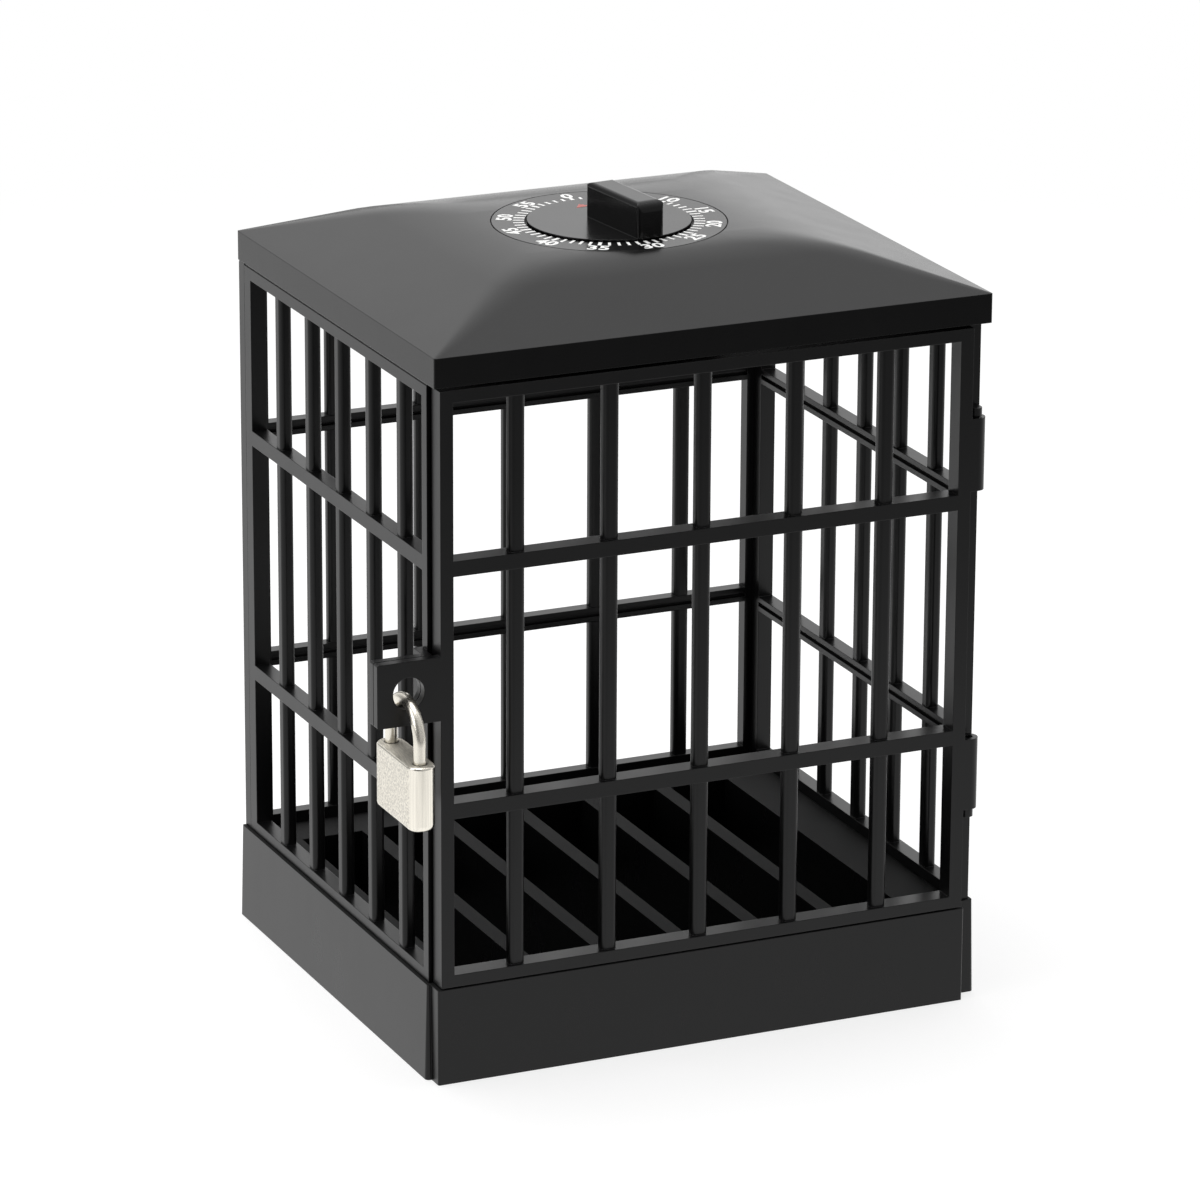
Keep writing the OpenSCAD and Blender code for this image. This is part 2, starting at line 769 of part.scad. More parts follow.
module door() {
    bars_middle = (-door_x + door_left_stile + door_right - door_right_stile) / 2 - door_bar_shift;
    color(black) {
        translate([0, front_y, 0])
            panel(-door_x, door_right, door_z, wall_top, door_t, [door_left_stile, door_right_stile],
                front_rail_low, front_rail_up, row(bar_count, bar_pitch, bars_middle), door_bar_setback);
        hasp_plate(front_y, hasp_t, -door_x + join);
        for (z = [barrel_low_z, barrel_up_z])
            door_barrel(z);
    }
}

// Hinge barrel on the door, with the web that carries it
module door_barrel(z) {
    translate([0, 0, z])
        linear_extrude(barrel_l)
            difference() {
                union() {
                    translate([hinge_x, hinge_y])
                        circle(barrel_r);
                    translate([door_right - join, front_y])
                        square([hinge_edge + join, barrel_r]);
                }
                translate([hinge_x, hinge_y])
                    circle(pin_r + pin_play);
            }
}

// What lies above a slope that falls towards +Y, from a flat at z2 to an edge at z1, with a round shoulder
module above_slope(half, flat, reach, z1, z2) {
    rise = z2 - z1;
    shoulder = (half - flat) * roof_shoulder / 2;
    brink = flat + shoulder;
    fall = atan(rise / (half - brink));
    r = shoulder / tan(fall / 2);
    sunk = r - shoulder_cut;
    translate([-reach, brink, z2])
        rotate([-fall, 0, 0])
            cube([2 * reach, half, rise]);
    difference() {
        translate([-reach, flat, z2 - rise])
            cube([2 * reach, shoulder * (1 + cos(fall)), 2 * rise]);
        translate([-reach - join, brink - sunk * tan(fall / 2), z2 - sunk])
            rotate([0, 90, 0])
                cylinder(h = 2 * (reach + join), r = r, $fn = slope_fn);
    }
}

// Roof block: upright sides up to z1, then four slopes up to a flat at z2
module roof_block(half_x, half_y, r, z0, z1, z2, flat) {
    difference() {
        translate([0, 0, z0])
            linear_extrude(z2 - z0)
                rounded_rect(2 * half_x, 2 * half_y, r);
        for (a = [0, 180])
            rotate([0, 0, a]) {
                above_slope(half_y, flat, half_x + join, z1, z2);
                rotate([0, 0, 90])
                    above_slope(half_x, flat, half_y + join, z1, z2);
            }
    }
}

module lid() {
    color(charcoal)
        difference() {
            union() {
                difference() {
                    roof_block(lid_x, lid_y, lid_corner_r, lid_z, eave_z, dial_z, plateau_r);
                    roof_block(lid_x - lid_t, lid_y - lid_t, lid_corner_r / 2, lid_z - 1, eave_z - roof_t,
                        ceiling_z, ceiling_r);
                }
                for (a = [0:screw_count - 1])
                    rotate([0, 0, first_screw + a * 360 / screw_count])
                        translate([screw_pcd_r, 0, ceiling_z - boss_l])
                            cylinder(h = boss_l, r = case_lug_r);
            }
            translate([0, 0, dial_seat_z])
                cylinder(h = dial_t + 1, r = dial_r + dial_play);
            translate([0, 0, ceiling_z - 1])
                cylinder(h = roof_t + 2, r = arbor_r + arbor_play);
            for (a = [0:screw_count - 1])
                rotate([0, 0, first_screw + a * 360 / screw_count])
                    translate([screw_pcd_r, 0, ceiling_z - boss_l - 1])
                        cylinder(h = boss_l, r = screw_r + seat_play);
        }
}

module dial_plate() {
    color(charcoal)
        translate([0, 0, dial_seat_z])
            difference() {
                cylinder(h = dial_t, r = dial_r);
                translate([0, 0, -1])
                    cylinder(h = dial_t + 2, r = knob_r + knob_gap);
            }
}

// Disc with an off-centre grip bar, socketed for the arbor
module timer_knob() {
    disc_z = dial_seat_z + knob_lift;
    color(black)
        difference() {
            union() {
                translate([0, 0, disc_z])
                    cylinder(h = knob_top - disc_z, r = knob_r);
                rotate([0, 0, grip_turn])
                    grip();
            }
            translate([0, 0, disc_z - 1])
                cylinder(h = arbor_top_z - disc_z + 1 + seat_play, r = arbor_r + seat_play);
        }
}

// Grip bar: the common part of its plan, its end view and its side view
module grip() {
    long = grip_front + grip_back;
    tall = dial_z + grip_h - knob_top + join;
    translate([0, (grip_back - grip_front) / 2, knob_top - join])
        intersection() {
            linear_extrude(tall + 1)
                rounded_rect(grip_w, long, grip_edge_r);
            rotate([90, 0, 0])
                translate([0, 0, -long / 2 - 1])
                    linear_extrude(long + 2)
                        arched_rect(grip_w, tall, grip_edge_r);
            rotate([90, 0, 90])
                translate([0, 0, -grip_w / 2 - 1])
                    linear_extrude(grip_w + 2)
                        arched_rect(long, tall, grip_end_r);
        }
}

// Cup round the movement, with its ledge, bell boss and screw lugs
module timer_case() {
    color(black)
        difference() {
            union() {
                difference() {
                    translate([0, 0, case_bottom])
                        cylinder(h = ceiling_z - case_bottom, r = case_r);
                    translate([0, 0, case_bottom + case_t])
                        cylinder(h = case_h, r = case_in_r);
                }
                difference() {
                    translate([0, 0, base_plate_z - case_ledge])
                        cylinder(h = case_ledge, r = case_in_r + join);
                    translate([0, 0, base_plate_z - case_ledge - 1])
                        cylinder(h = case_ledge + 2, r = case_in_r - case_ledge);
                }
                translate([0, 0, case_bottom])
                    cylinder(h = bell_seat_z - case_bottom, r = bell_boss_r);
                for (a = [0:screw_count - 1])
                    rotate([0, 0, first_screw + a * 360 / screw_count])
                        case_lug();
            }
            for (a = [0:screw_count - 1])
                rotate([0, 0, first_screw + a * 360 / screw_count])
                    translate([screw_pcd_r, 0, lug_z - 1])
                        cylinder(h = case_lug_t + 2, r = screw_hole_r);
            translate([0, 0, case_bottom + bell_tip_cover])
                cylinder(h = case_h, r = screw_r + seat_play);
        }
}

module case_lug() {
    translate([screw_pcd_r, 0, lug_z])
        cylinder(h = case_lug_t, r = case_lug_r);
    translate([case_r - case_t / 2, -case_lug_r, lug_z])
        cube([screw_pcd_r - case_r + case_t / 2, 2 * case_lug_r, case_lug_t]);
}

module case_screws() {
    color(steel)
        for (a = [0:screw_count - 1])
            rotate([0, 0, first_screw + a * 360 / screw_count])
                translate([screw_pcd_r, 0, lug_z]) {
                    translate([0, 0, -screw_head_h])
                        cylinder(h = screw_head_h, r = screw_head_r);
                    translate([0, 0, -join])
                        cylinder(h = case_lug_t + boss_l - tip_cover + join, r = screw_r);
                }
}

// Dished bell, crown down, open towards the hammer
module bell() {
    dish_h = base_plate_z - bell_gap - bell_seat_z;
    rim_z = dish_h - bell_rim_h;
    crown_r = bell_r - rim_z;
    bore_r = screw_hole_r;
    color(nickel)
        translate([0, 0, bell_seat_z])
            rotate_extrude()
                polygon([
                    [bore_r, 0], [crown_r, 0], [bell_r, rim_z], [bell_r, dish_h], [bell_r - bell_t, dish_h],
                    [bell_r - bell_t, rim_z], [crown_r - bell_t / 2, bell_t], [bore_r, bell_t]
                ]);
}

module bell_screw() {
    color(steel)
        translate([0, 0, bell_seat_z + bell_t]) {
            cylinder(h = bell_head_h, r = screw_head_r);
            translate([0, 0, -bell_t - bell_thread_l])
                cylinder(h = bell_t + bell_thread_l + join, r = screw_r);
        }
}

// Disc plate of the movement, bored for the pivots
module movement_plate(z) {
    translate([0, 0, z])
        difference() {
            cylinder(h = plate_t, r = plate_r);
            translate([0, 0, -1])
                cylinder(h = plate_t + 2, r = arbor_r + arbor_play);
            for (at = [second_at, third_at, escape_at, pallet_at])
                translate([at[0], at[1], -1])
                    cylinder(h = plate_t + 2, r = pivot_r + pivot_play);
            for (a = pillar_angles)
                rotate([0, 0, a])
                    translate([pillar_pcd_r, 0, -1])
                        cylinder(h = plate_t + 2, r = tenon_r + seat_play);
            children();
        }
}

module movement_base_plate() {
    color(brass)
        movement_plate(base_plate_z)
            translate([hammer_at[0], hammer_at[1], -1])
                cylinder(h = plate_t + 2, r = pivot_r + pivot_play);
}

// Top plate, with the post that holds the mainspring's outer end
module movement_top_plate() {
    color(brass) {
        movement_plate(top_plate_z);
        translate([0, -spring_r - post_gap, spring_z])
            cylinder(h = top_plate_z - spring_z + join, r = post_r);
    }
}

module movement_pillars() {
    color(brass)
        for (a = pillar_angles)
            rotate([0, 0, a])
                translate([pillar_pcd_r, 0, 0]) {
                    translate([0, 0, floor_z])
                        cylinder(h = plate_gap, r = pillar_r);
                    translate([0, 0, base_plate_z])
                        cylinder(h = plate_gap + 2 * plate_t, r = tenon_r);
                }
}

// Arbor from the movement up into the knob, with the cam that lifts the hammer
module main_arbor() {
    color(steel) {
        translate([0, 0, base_plate_z])
            cylinder(h = arbor_top_z - base_plate_z, r = arbor_r);
        translate([0, 0, cam_z])
            linear_extrude(cam_t)
                difference() {
                    circle(cam_r);
                    rotate(towards([0, 0], hammer_at))
                        translate([arbor_r + cam_notch_floor, -cam_notch_w / 2])
                            square([cam_r, cam_notch_w]);
                }
    }
}

// Toothed outline: each tooth runs up one flank and down the other
function toothed(teeth, module_mm, tooth, turn = 0) = [
    for (i = [0:teeth - 1], k = [0:2 * len(tooth) - 1])
        let (
            r = teeth * module_mm / 2,
            up = k < len(tooth),
            p = tooth[up ? k : 2 * len(tooth) - 1 - k],
            a = turn + i * 360 / teeth + (up ? -1 : 1) * p[1] * module_mm / r * 180 / PI,
            q = r + p[0] * module_mm
        )
        [q * cos(a), q * sin(a)]
];

// Height of a pinion that is centred on the wheel it meets
function pinion_z(wheel_z, t) = wheel_z + (t - pinion_l) / 2;

// Direction from one arbor to another
function towards(from, to) = atan2(to[1] - from[1], to[0] - from[0]);

// Wheel with crossed-out spokes, a tooth pointing along turn
module toothed_wheel(teeth, module_mm, t, turn, middle_r) {
    rim_r = (teeth / 2 - rim_modules) * module_mm;
    linear_extrude(t)
        difference() {
            polygon(toothed(teeth, module_mm, wheel_tooth, turn));
            difference() {
                circle(rim_r);
                circle(middle_r);
                for (a = [0, 90])
                    rotate(a)
                        square([2 * rim_r + 1, spoke_w], center = true);
            }
        }
}

// Wheel of the train on its arbor, with the pinion that drives it
module train_arbor(at, wheel_z, leaves_z, pinion_module, mate, next) {
    to_mate = towards(at, mate);
    to_next = towards(at, next);
    translate([at[0], at[1], 0]) {
        translate([0, 0, base_plate_z])
            cylinder(h = plate_gap + 2 * plate_t, r = pivot_r);
        translate([0, 0, leaves_z])
            linear_extrude(pinion_l)
                polygon(toothed(pinion_leaves, pinion_module, pinion_tooth, to_mate + 180 / pinion_leaves));
        translate([0, 0, wheel_z])
            toothed_wheel(train_teeth, train_module, wheel_t, to_next, hub_r);
    }
}

module great_wheel() {
    color(brass)
        translate([0, 0, great_z])
            difference() {
                toothed_wheel(great_teeth, great_module, great_t, towards([0, 0], second_at),
                    arbor_r + great_hub_t);
                translate([0, 0, -1])
                    cylinder(h = great_t + 2, r = arbor_r + seat_play);
            }
}

module second_wheel() {
    color(brass)
        train_arbor(second_at, second_z, pinion_z(great_z, great_t), great_module, [0, 0], third_at);
}

module third_wheel() {
    color(brass)
        train_arbor(third_at, third_z, pinion_z(second_z, wheel_t), train_module, second_at, escape_at);
}

module escape_wheel() {
    color(brass)
        translate([escape_at[0], escape_at[1], 0]) {
            translate([0, 0, base_plate_z])
                cylinder(h = plate_gap + 2 * plate_t, r = pivot_r);
            translate([0, 0, pinion_z(third_z, wheel_t)])
                linear_extrude(pinion_l)
                    polygon(toothed(pinion_leaves, train_module, pinion_tooth,
                        towards(escape_at, third_at) + 180 / pinion_leaves));
            translate([0, 0, escape_z])
                linear_extrude(wheel_t)
                    polygon([
                        for (i = [0:escape_teeth - 1], k = [0, 1])
                            let (a = (i + k / 2) * 360 / escape_teeth, q = escape_r - k * escape_depth)
                            [q * cos(a), q * sin(a)]
                    ]);
        }
}

// Lever that rocks above the escape wheel, with two pins that drop between its teeth
module pallet_lever() {
    stand_off = escape_r + pallet_pin_r + pallet_gap;
    pin_angle = 1.5 * 360 / escape_teeth;
    pin_x = stand_off * cos(pin_angle) - pallet_reach;
    pin_y = stand_off * sin(pin_angle);
    color(steel)
        translate([pallet_at[0], pallet_at[1], 0]) {
            translate([0, 0, base_plate_z])
                cylinder(h = plate_gap + 2 * plate_t, r = pivot_r);
            translate([0, 0, lever_z])
                linear_extrude(wheel_t) {
                    circle(lever_hub_r);
                    square([lever_w, 2 * lever_reach], center = true);
                    for (y = [-1, 1])
                        translate([pin_x - lever_w / 2, y * pin_y - lever_w / 2])
                            square([lever_w / 2 - pin_x, lever_w]);
                    for (y = [-lever_reach, lever_reach])
                        translate([0, y])
                            circle(lever_w);
                }
            for (y = [-1, 1])
                translate([pin_x, y * pin_y, escape_z - pallet_pin_drop])
                    cylinder(h = lever_z - escape_z + pallet_pin_drop + join, r = pallet_pin_r);
        }
}

// Spiral strip, wound from the arbor out to its post
module mainspring() {
    steps = spring_turns * 20;
    r0 = arbor_r + spring_start + spring_t / 2;
    r1 = spring_r - spring_t / 2;
    turn = [for (i = [0:steps]) -90 - (1 - i / steps) * spring_turns * 360];
    mid = [for (i = [0:steps]) r0 + (r1 - r0) * i / steps];
    inside = [for (i = [0:steps]) (mid[i] - spring_t / 2) * [cos(turn[i]), sin(turn[i])]];
    outside = [for (i = [steps:-1:0]) (mid[i] + spring_t / 2) * [cos(turn[i]), sin(turn[i])]];
    color(steel)
        translate([0, 0, spring_z])
            linear_extrude(spring_h)
                polygon(concat(inside, outside));
}

// Hammer under the base plate, with a tail above it that follows the arbor's cam
module hammer() {
    arm_z = base_plate_z - hammer_drop;
    head_at = (bell_r - bell_t - head_r - head_gap) * [cos(head_angle), sin(head_angle)];
    arm = head_at - hammer_at;
    tail_l = norm(hammer_at) - cam_r - layer_gap;
    color(steel)
        translate([hammer_at[0], hammer_at[1], 0]) {
            translate([0, 0, arm_z])
                cylinder(h = floor_z + hammer_top - arm_z, r = pivot_r);
            translate([0, 0, arm_z])
                linear_extrude(arm_t)
                    rotate(atan2(arm[1], arm[0])) {
                        circle(lever_hub_r);
                        translate([0, -arm_w / 2])
                            square([norm(arm), arm_w]);
                        translate([norm(arm), 0])
                            circle(head_r);
                    }
            translate([0, 0, cam_z])
                linear_extrude(tail_t)
                    rotate(towards(hammer_at, [0, 0])) {
                        circle(lever_hub_r);
                        translate([0, -arm_w / 2])
                            square([tail_l, arm_w]);
                    }
        }
}

// Half outline of the lock's body, from its middle out
module lock_half_outline(half) {
    b = lock_bottom_r;
    t = lock_top_r;
    square([half - b, lock_h]);
    translate([0, b])
        square([half, lock_h - b - t]);
    translate([half - b, b])
        circle(b);
    translate([0, b])
        square([half - t, lock_h - b]);
    translate([half - t, lock_h - t])
        circle(t);
}

module padlock_body() {
    half = lock_t / 2;
    straight = lock_l - lock_t;
    color(nickel)
        difference() {
            translate([hasp_x, lock_y, lock_bottom]) {
                for (y = [-straight / 2, straight / 2])
                    translate([0, y, 0])
                        rotate_extrude()
                            lock_half_outline(half);
                rotate([90, 0, 0])
                    translate([0, 0, -straight / 2])
                        linear_extrude(straight)
                            for (side = [0, 1])
                                mirror([side, 0])
                                    lock_half_outline(half);
            }
            translate([hasp_x, toe_y, lock_top - toe_l - leg_room])
                cylinder(h = toe_l + 2, r = wire_r + lock_play);
            translate([hasp_x, heel_y, lock_top - heel_l - leg_room])
                cylinder(h = heel_l + 2, r = wire_r + lock_play);
            translate([hasp_x, lock_y, lock_bottom - 1])
                cylinder(h = plug_top - lock_bottom + 1 + plug_room, r = plug_r + lock_play);
            translate([hasp_x, lock_y, plug_top])
                cylinder(h = cam_top + plug_gap - plug_top, r = bolt_travel + cam_pin_r + plug_gap);
            translate([hasp_x, toe_y, bolt_z])
                rotate([-90, 0, 0])
                    cylinder(h = leg_spacing, r = bolt_r + lock_play);
        }
}

// Bent wire: the long leg stays in the body, the short leg is notched for the bolt
module shackle() {
    color(nickel)
        difference() {
            translate([hasp_x, lock_y, bow_z]) {
                rotate([90, 0, 90])
                    rotate_extrude(angle = 180)
                        translate([bow_r, 0])
                            circle(wire_r);
                translate([0, -bow_r, -leg_l - toe_l])
                    cylinder(h = leg_l + toe_l, r = wire_r);
                translate([0, bow_r, -leg_l - heel_l])
                    cylinder(h = leg_l + heel_l, r = wire_r);
            }
            translate([hasp_x - wire_d, bolt_nose - bolt_travel - notch_depth, bolt_z - bolt_r - notch_room])
                cube([2 * wire_d, wire_d, 2 * (bolt_r + notch_room)]);
        }
}

// Round plug with its keyway, and the cam pin that moves the bolt
module key_plug() {
    color(brass)
        translate([hasp_x, lock_y, 0]) {
            difference() {
                translate([0, 0, lock_bottom])
                    cylinder(h = plug_top - lock_bottom, r = plug_r);
                translate([-keyway_w / 2, -plug_r * keyway_long, lock_bottom - 1])
                    cube([keyway_w, 2 * plug_r * keyway_long, lock_h * keyway_deep + 1]);
            }
            translate([bolt_travel, 0, plug_top - join])
                cylinder(h = cam_top - plug_top + join, r = cam_pin_r);
        }
}

module lock_bolt() {
    slot_w = 2 * cam_pin_r + cam_slot_play;
    color(steel)
        difference() {
            translate([hasp_x, bolt_nose, bolt_z])
                rotate([-90, 0, 0])
                    cylinder(h = bolt_tail - bolt_nose, r = bolt_r);
            translate([hasp_x - 2 * bolt_r, lock_y - slot_w / 2 - plug_room, bolt_z - 2 * bolt_r])
                cube([4 * bolt_r, slot_w, 2 * bolt_r + cam_top - bolt_z + plug_gap]);
        }
}

// Coil behind the bolt, a tube swept along a helix
module bolt_spring() {
    per_turn = 8;
    sides = 6;
    coil_r = bolt_r - coil_wire_r - coil_play;
    y0 = bolt_tail + coil_gap;
    y1 = heel_y - wire_r - coil_gap;
    rings = coil_turns * per_turn;
    points = [
        for (i = [0:rings], k = [0:sides - 1])
            let (a = i * 360 / per_turn, b = k * 360 / sides, q = coil_r + coil_wire_r * cos(b))
            [hasp_x + q * cos(a), y0 + (y1 - y0) * i / rings + coil_wire_r * sin(b), bolt_z + q * sin(a)]
    ];
    sidewalls = [
        for (i = [0:rings - 1], k = [0:sides - 1])
            let (n = (k + 1) % sides)
            each [
                [i * sides + k, i * sides + n, (i + 1) * sides + n],
                [i * sides + k, (i + 1) * sides + n, (i + 1) * sides + k]
            ]
    ];
    first = [for (k = [1:sides - 2]) [0, k + 1, k]];
    last = [for (k = [1:sides - 2]) [rings * sides, rings * sides + k, rings * sides + k + 1]];
    color(steel)
        polyhedron(points, concat(sidewalls, first, last));
}

base();
left_wall();
right_wall();
back_wall();
door();
lid();
dial_plate();
timer_knob();
timer_case();
case_screws();
bell();
bell_screw();
movement_base_plate();
movement_top_plate();
movement_pillars();
main_arbor();
great_wheel();
mainspring();
second_wheel();
third_wheel();
escape_wheel();
pallet_lever();
hammer();
padlock_body();
shackle();
key_plug();
lock_bolt();
bolt_spring();
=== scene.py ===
"""Looks of the phone jail: the finishes of its pieces, the printed dial and the stage."""

import json
import math

import bmesh
import bpy
from bpy.props import FloatProperty, FloatVectorProperty, PointerProperty
from mathutils import Matrix, Vector


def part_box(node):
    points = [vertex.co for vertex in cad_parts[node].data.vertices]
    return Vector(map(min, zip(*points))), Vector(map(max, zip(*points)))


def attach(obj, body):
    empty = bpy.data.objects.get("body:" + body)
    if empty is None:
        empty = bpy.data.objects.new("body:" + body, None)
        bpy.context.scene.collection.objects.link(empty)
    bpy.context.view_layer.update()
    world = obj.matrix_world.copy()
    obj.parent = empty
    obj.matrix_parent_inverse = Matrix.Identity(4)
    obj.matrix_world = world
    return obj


bl_info = {
    "name": "Phone jail looks",
    "version": (1, 0, 0),
    "blender": (4, 5, 0),
    "location": "3D View > Sidebar > Phone jail",
    "description": "Finishes, dial print and stage for the phone jail",
    "category": "Object",
}

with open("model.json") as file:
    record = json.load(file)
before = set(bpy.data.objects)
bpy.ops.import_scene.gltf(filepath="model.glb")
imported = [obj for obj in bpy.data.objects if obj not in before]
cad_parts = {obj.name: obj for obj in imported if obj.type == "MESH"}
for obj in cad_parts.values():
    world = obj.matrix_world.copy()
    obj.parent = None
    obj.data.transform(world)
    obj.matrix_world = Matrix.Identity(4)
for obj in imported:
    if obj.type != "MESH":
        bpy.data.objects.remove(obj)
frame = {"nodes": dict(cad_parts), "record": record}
nodes = frame["nodes"]
slots = {part["node"]: part["material_slot"] for part in frame["record"]["subparts"]}
MM = 0.001
DIAL_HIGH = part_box("dial_plate")[1]
KNOB_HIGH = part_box("timer_knob")[1]
LID_LOW, LID_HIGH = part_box("lid")
SHACKLE_LOW, SHACKLE_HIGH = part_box("shackle")

MINUTES = 60
NUMBERED_MINUTES = 5
# Height of a figure in Blender's own typeface, as a share of the type's size
FIGURE_SHARE = 0.73
CURVE_STEPS = 6
WELD_DISTANCE = 0.001 * MM
BEVEL_SAMPLES = 8
UP = (0, 0, 1)


# Sizes and colours


class PlasticSettings(bpy.types.PropertyGroup):
    """The moulded black plastic"""

    cage_black: FloatVectorProperty(
        name="Cage black", description="Colour of the walls, the door and the timer's case",
        subtype="COLOR", size=4, min=0, max=1, default=(0.0042, 0.0042, 0.0045, 1))
    base_black: FloatVectorProperty(
        name="Base black", description="Colour of the base",
        subtype="COLOR", size=4, min=0, max=1, default=(0.0045, 0.0045, 0.0048, 1))
    lid_black: FloatVectorProperty(
        name="Lid black", description="Colour of the lid and the dial's ring",
        subtype="COLOR", size=4, min=0, max=1, default=(0.0045, 0.0044, 0.0046, 1))
    knob_black: FloatVectorProperty(
        name="Knob black", description="Colour of the timer's knob",
        subtype="COLOR", size=4, min=0, max=1, default=(0.0036, 0.0035, 0.0037, 1))
    shine: FloatProperty(
        name="Refractive index", description="How strongly the plastic mirrors its surroundings",
        min=1, max=2, default=1.36)
    lid_shine: FloatProperty(
        name="Lid's refractive index", description="How strongly the duller lid mirrors its surroundings",
        min=1, max=2, default=1.3)
    edge_radius: FloatProperty(
        name="Edge rounding", description="Radius of the small rounding along moulded edges",
        subtype="DISTANCE", unit="LENGTH", min=0, default=0.22 * MM)
    cloud: FloatProperty(
        name="Cloud size", description="Size of the faint clouds in the black",
        subtype="DISTANCE", unit="LENGTH", min=0.1 * MM, default=18 * MM)
    flow: FloatProperty(
        name="Flow mark size", description="Width of the flow marks in the gloss",
        subtype="DISTANCE", unit="LENGTH", min=0.1 * MM, default=9 * MM)
    grain: FloatProperty(
        name="Grain size", description="Size of one grain of the moulded surface",
        subtype="DISTANCE", unit="LENGTH", min=0.01 * MM, default=0.35 * MM)
    grain_depth: FloatProperty(
        name="Grain depth", description="Depth of the grain of the moulded surface",
        subtype="DISTANCE", unit="LENGTH", min=0, default=0.05 * MM)
    roof_rise: FloatProperty(
        name="Roof rise", description="Rise of the roof's slopes, as a share of the lid's height",
        subtype="FACTOR", min=0, max=1, default=0.585)
    roof_curve: FloatProperty(
        name="Roof curve", description="Share of the slopes over which they curve away from the dial",
        subtype="FACTOR", min=0.05, max=1, default=0.5)
    hip_softness: FloatProperty(
        name="Hip softness", description="How soft the roof's hips are at the dial",
        subtype="FACTOR", min=0, max=1, default=0.4)
    eave_softness: FloatProperty(
        name="Eave softness", description="How soft the roof's hips are at the eaves",
        subtype="FACTOR", min=0, max=1, default=0.02)


class DialSettings(bpy.types.PropertyGroup):
    """The minute scale and the pointer"""

    ink: FloatVectorProperty(
        name="Ink", description="Colour of the printed scale",
        subtype="COLOR", size=4, min=0, max=1, default=(0.9, 0.9, 0.89, 1))
    ink_height: FloatProperty(
        name="Ink height", description="Height of the ink over the plastic",
        subtype="DISTANCE", unit="LENGTH", default=0.03 * MM)
    ink_root: FloatProperty(
        name="Ink root", description="How deep the ink sits in the plastic",
        subtype="DISTANCE", unit="LENGTH", default=0.01 * MM)
    ink_wear: FloatProperty(
        name="Ink wear", description="Size of the thin places in the ink",
        subtype="DISTANCE", unit="LENGTH", min=0.01 * MM, default=0.5 * MM)
    wear_depth: FloatProperty(
        name="Wear depth", description="Depth of the thin places in the ink",
        subtype="DISTANCE", unit="LENGTH", min=0, default=0.01 * MM)
    tick_start: FloatProperty(
        name="Tick start", description="Radius at which the minute ticks start",
        subtype="DISTANCE", unit="LENGTH", default=KNOB_HIGH.x + 0.7 * MM)
    tick_length: FloatProperty(
        name="Tick length", description="Length of a minute tick",
        subtype="DISTANCE", unit="LENGTH", default=2.7 * MM)
    tick_width: FloatProperty(
        name="Tick width", description="Width of a minute tick",
        subtype="DISTANCE", unit="LENGTH", default=0.7 * MM)
    numbered_tick: FloatProperty(
        name="Numbered tick", description="How much wider than the others the ticks with numerals are",
        min=1, max=2, default=1.3)
    numeral_radius: FloatProperty(
        name="Numeral radius", description="Radius of the middle of the numerals",
        subtype="DISTANCE", unit="LENGTH", default=DIAL_HIGH.x - 3.05 * MM)
    numeral_height: FloatProperty(
        name="Numeral height", description="Height of the numerals",
        subtype="DISTANCE", unit="LENGTH", default=3.75 * MM)
    numeral_width: FloatProperty(
        name="Numeral width", description="How much wider than usual the numerals are",
        min=0.5, max=2, default=1.08)
    numeral_weight: FloatProperty(
        name="Numeral weight", description="How much bolder the strokes are, as a share of the type's size",
        min=0, max=0.1, default=0.03)
    numeral_spacing: FloatProperty(
        name="Numeral spacing", description="How much wider than usual two figures are set",
        min=0.5, max=2, default=1.04)
    disc_rise: FloatProperty(
        name="Disc rise", description="Height of the knob's disc over the dial's ring",
        subtype="DISTANCE", unit="LENGTH", default=0.5 * MM)
    pointer_red: FloatVectorProperty(
        name="Pointer red", description="Colour of the pointer on the knob",
        subtype="COLOR", size=4, min=0, max=1, default=(0.42, 0.09, 0.075, 1))
    pointer_left: FloatVectorProperty(
        name="Pointer's left corner", description="Place of the pointer's left corner on the knob",
        subtype="XYZ", unit="LENGTH", size=2, default=(-3.1 * MM, 12.6 * MM))
    pointer_right: FloatVectorProperty(
        name="Pointer's right corner", description="Place of the pointer's right corner on the knob",
        subtype="XYZ", unit="LENGTH", size=2, default=(0.95 * MM, 13.1 * MM))
    pointer_tip: FloatVectorProperty(
        name="Pointer's tip", description="Place of the pointer's tip on the knob",
        subtype="XYZ", unit="LENGTH", size=2, default=(-1.1 * MM, 15.6 * MM))


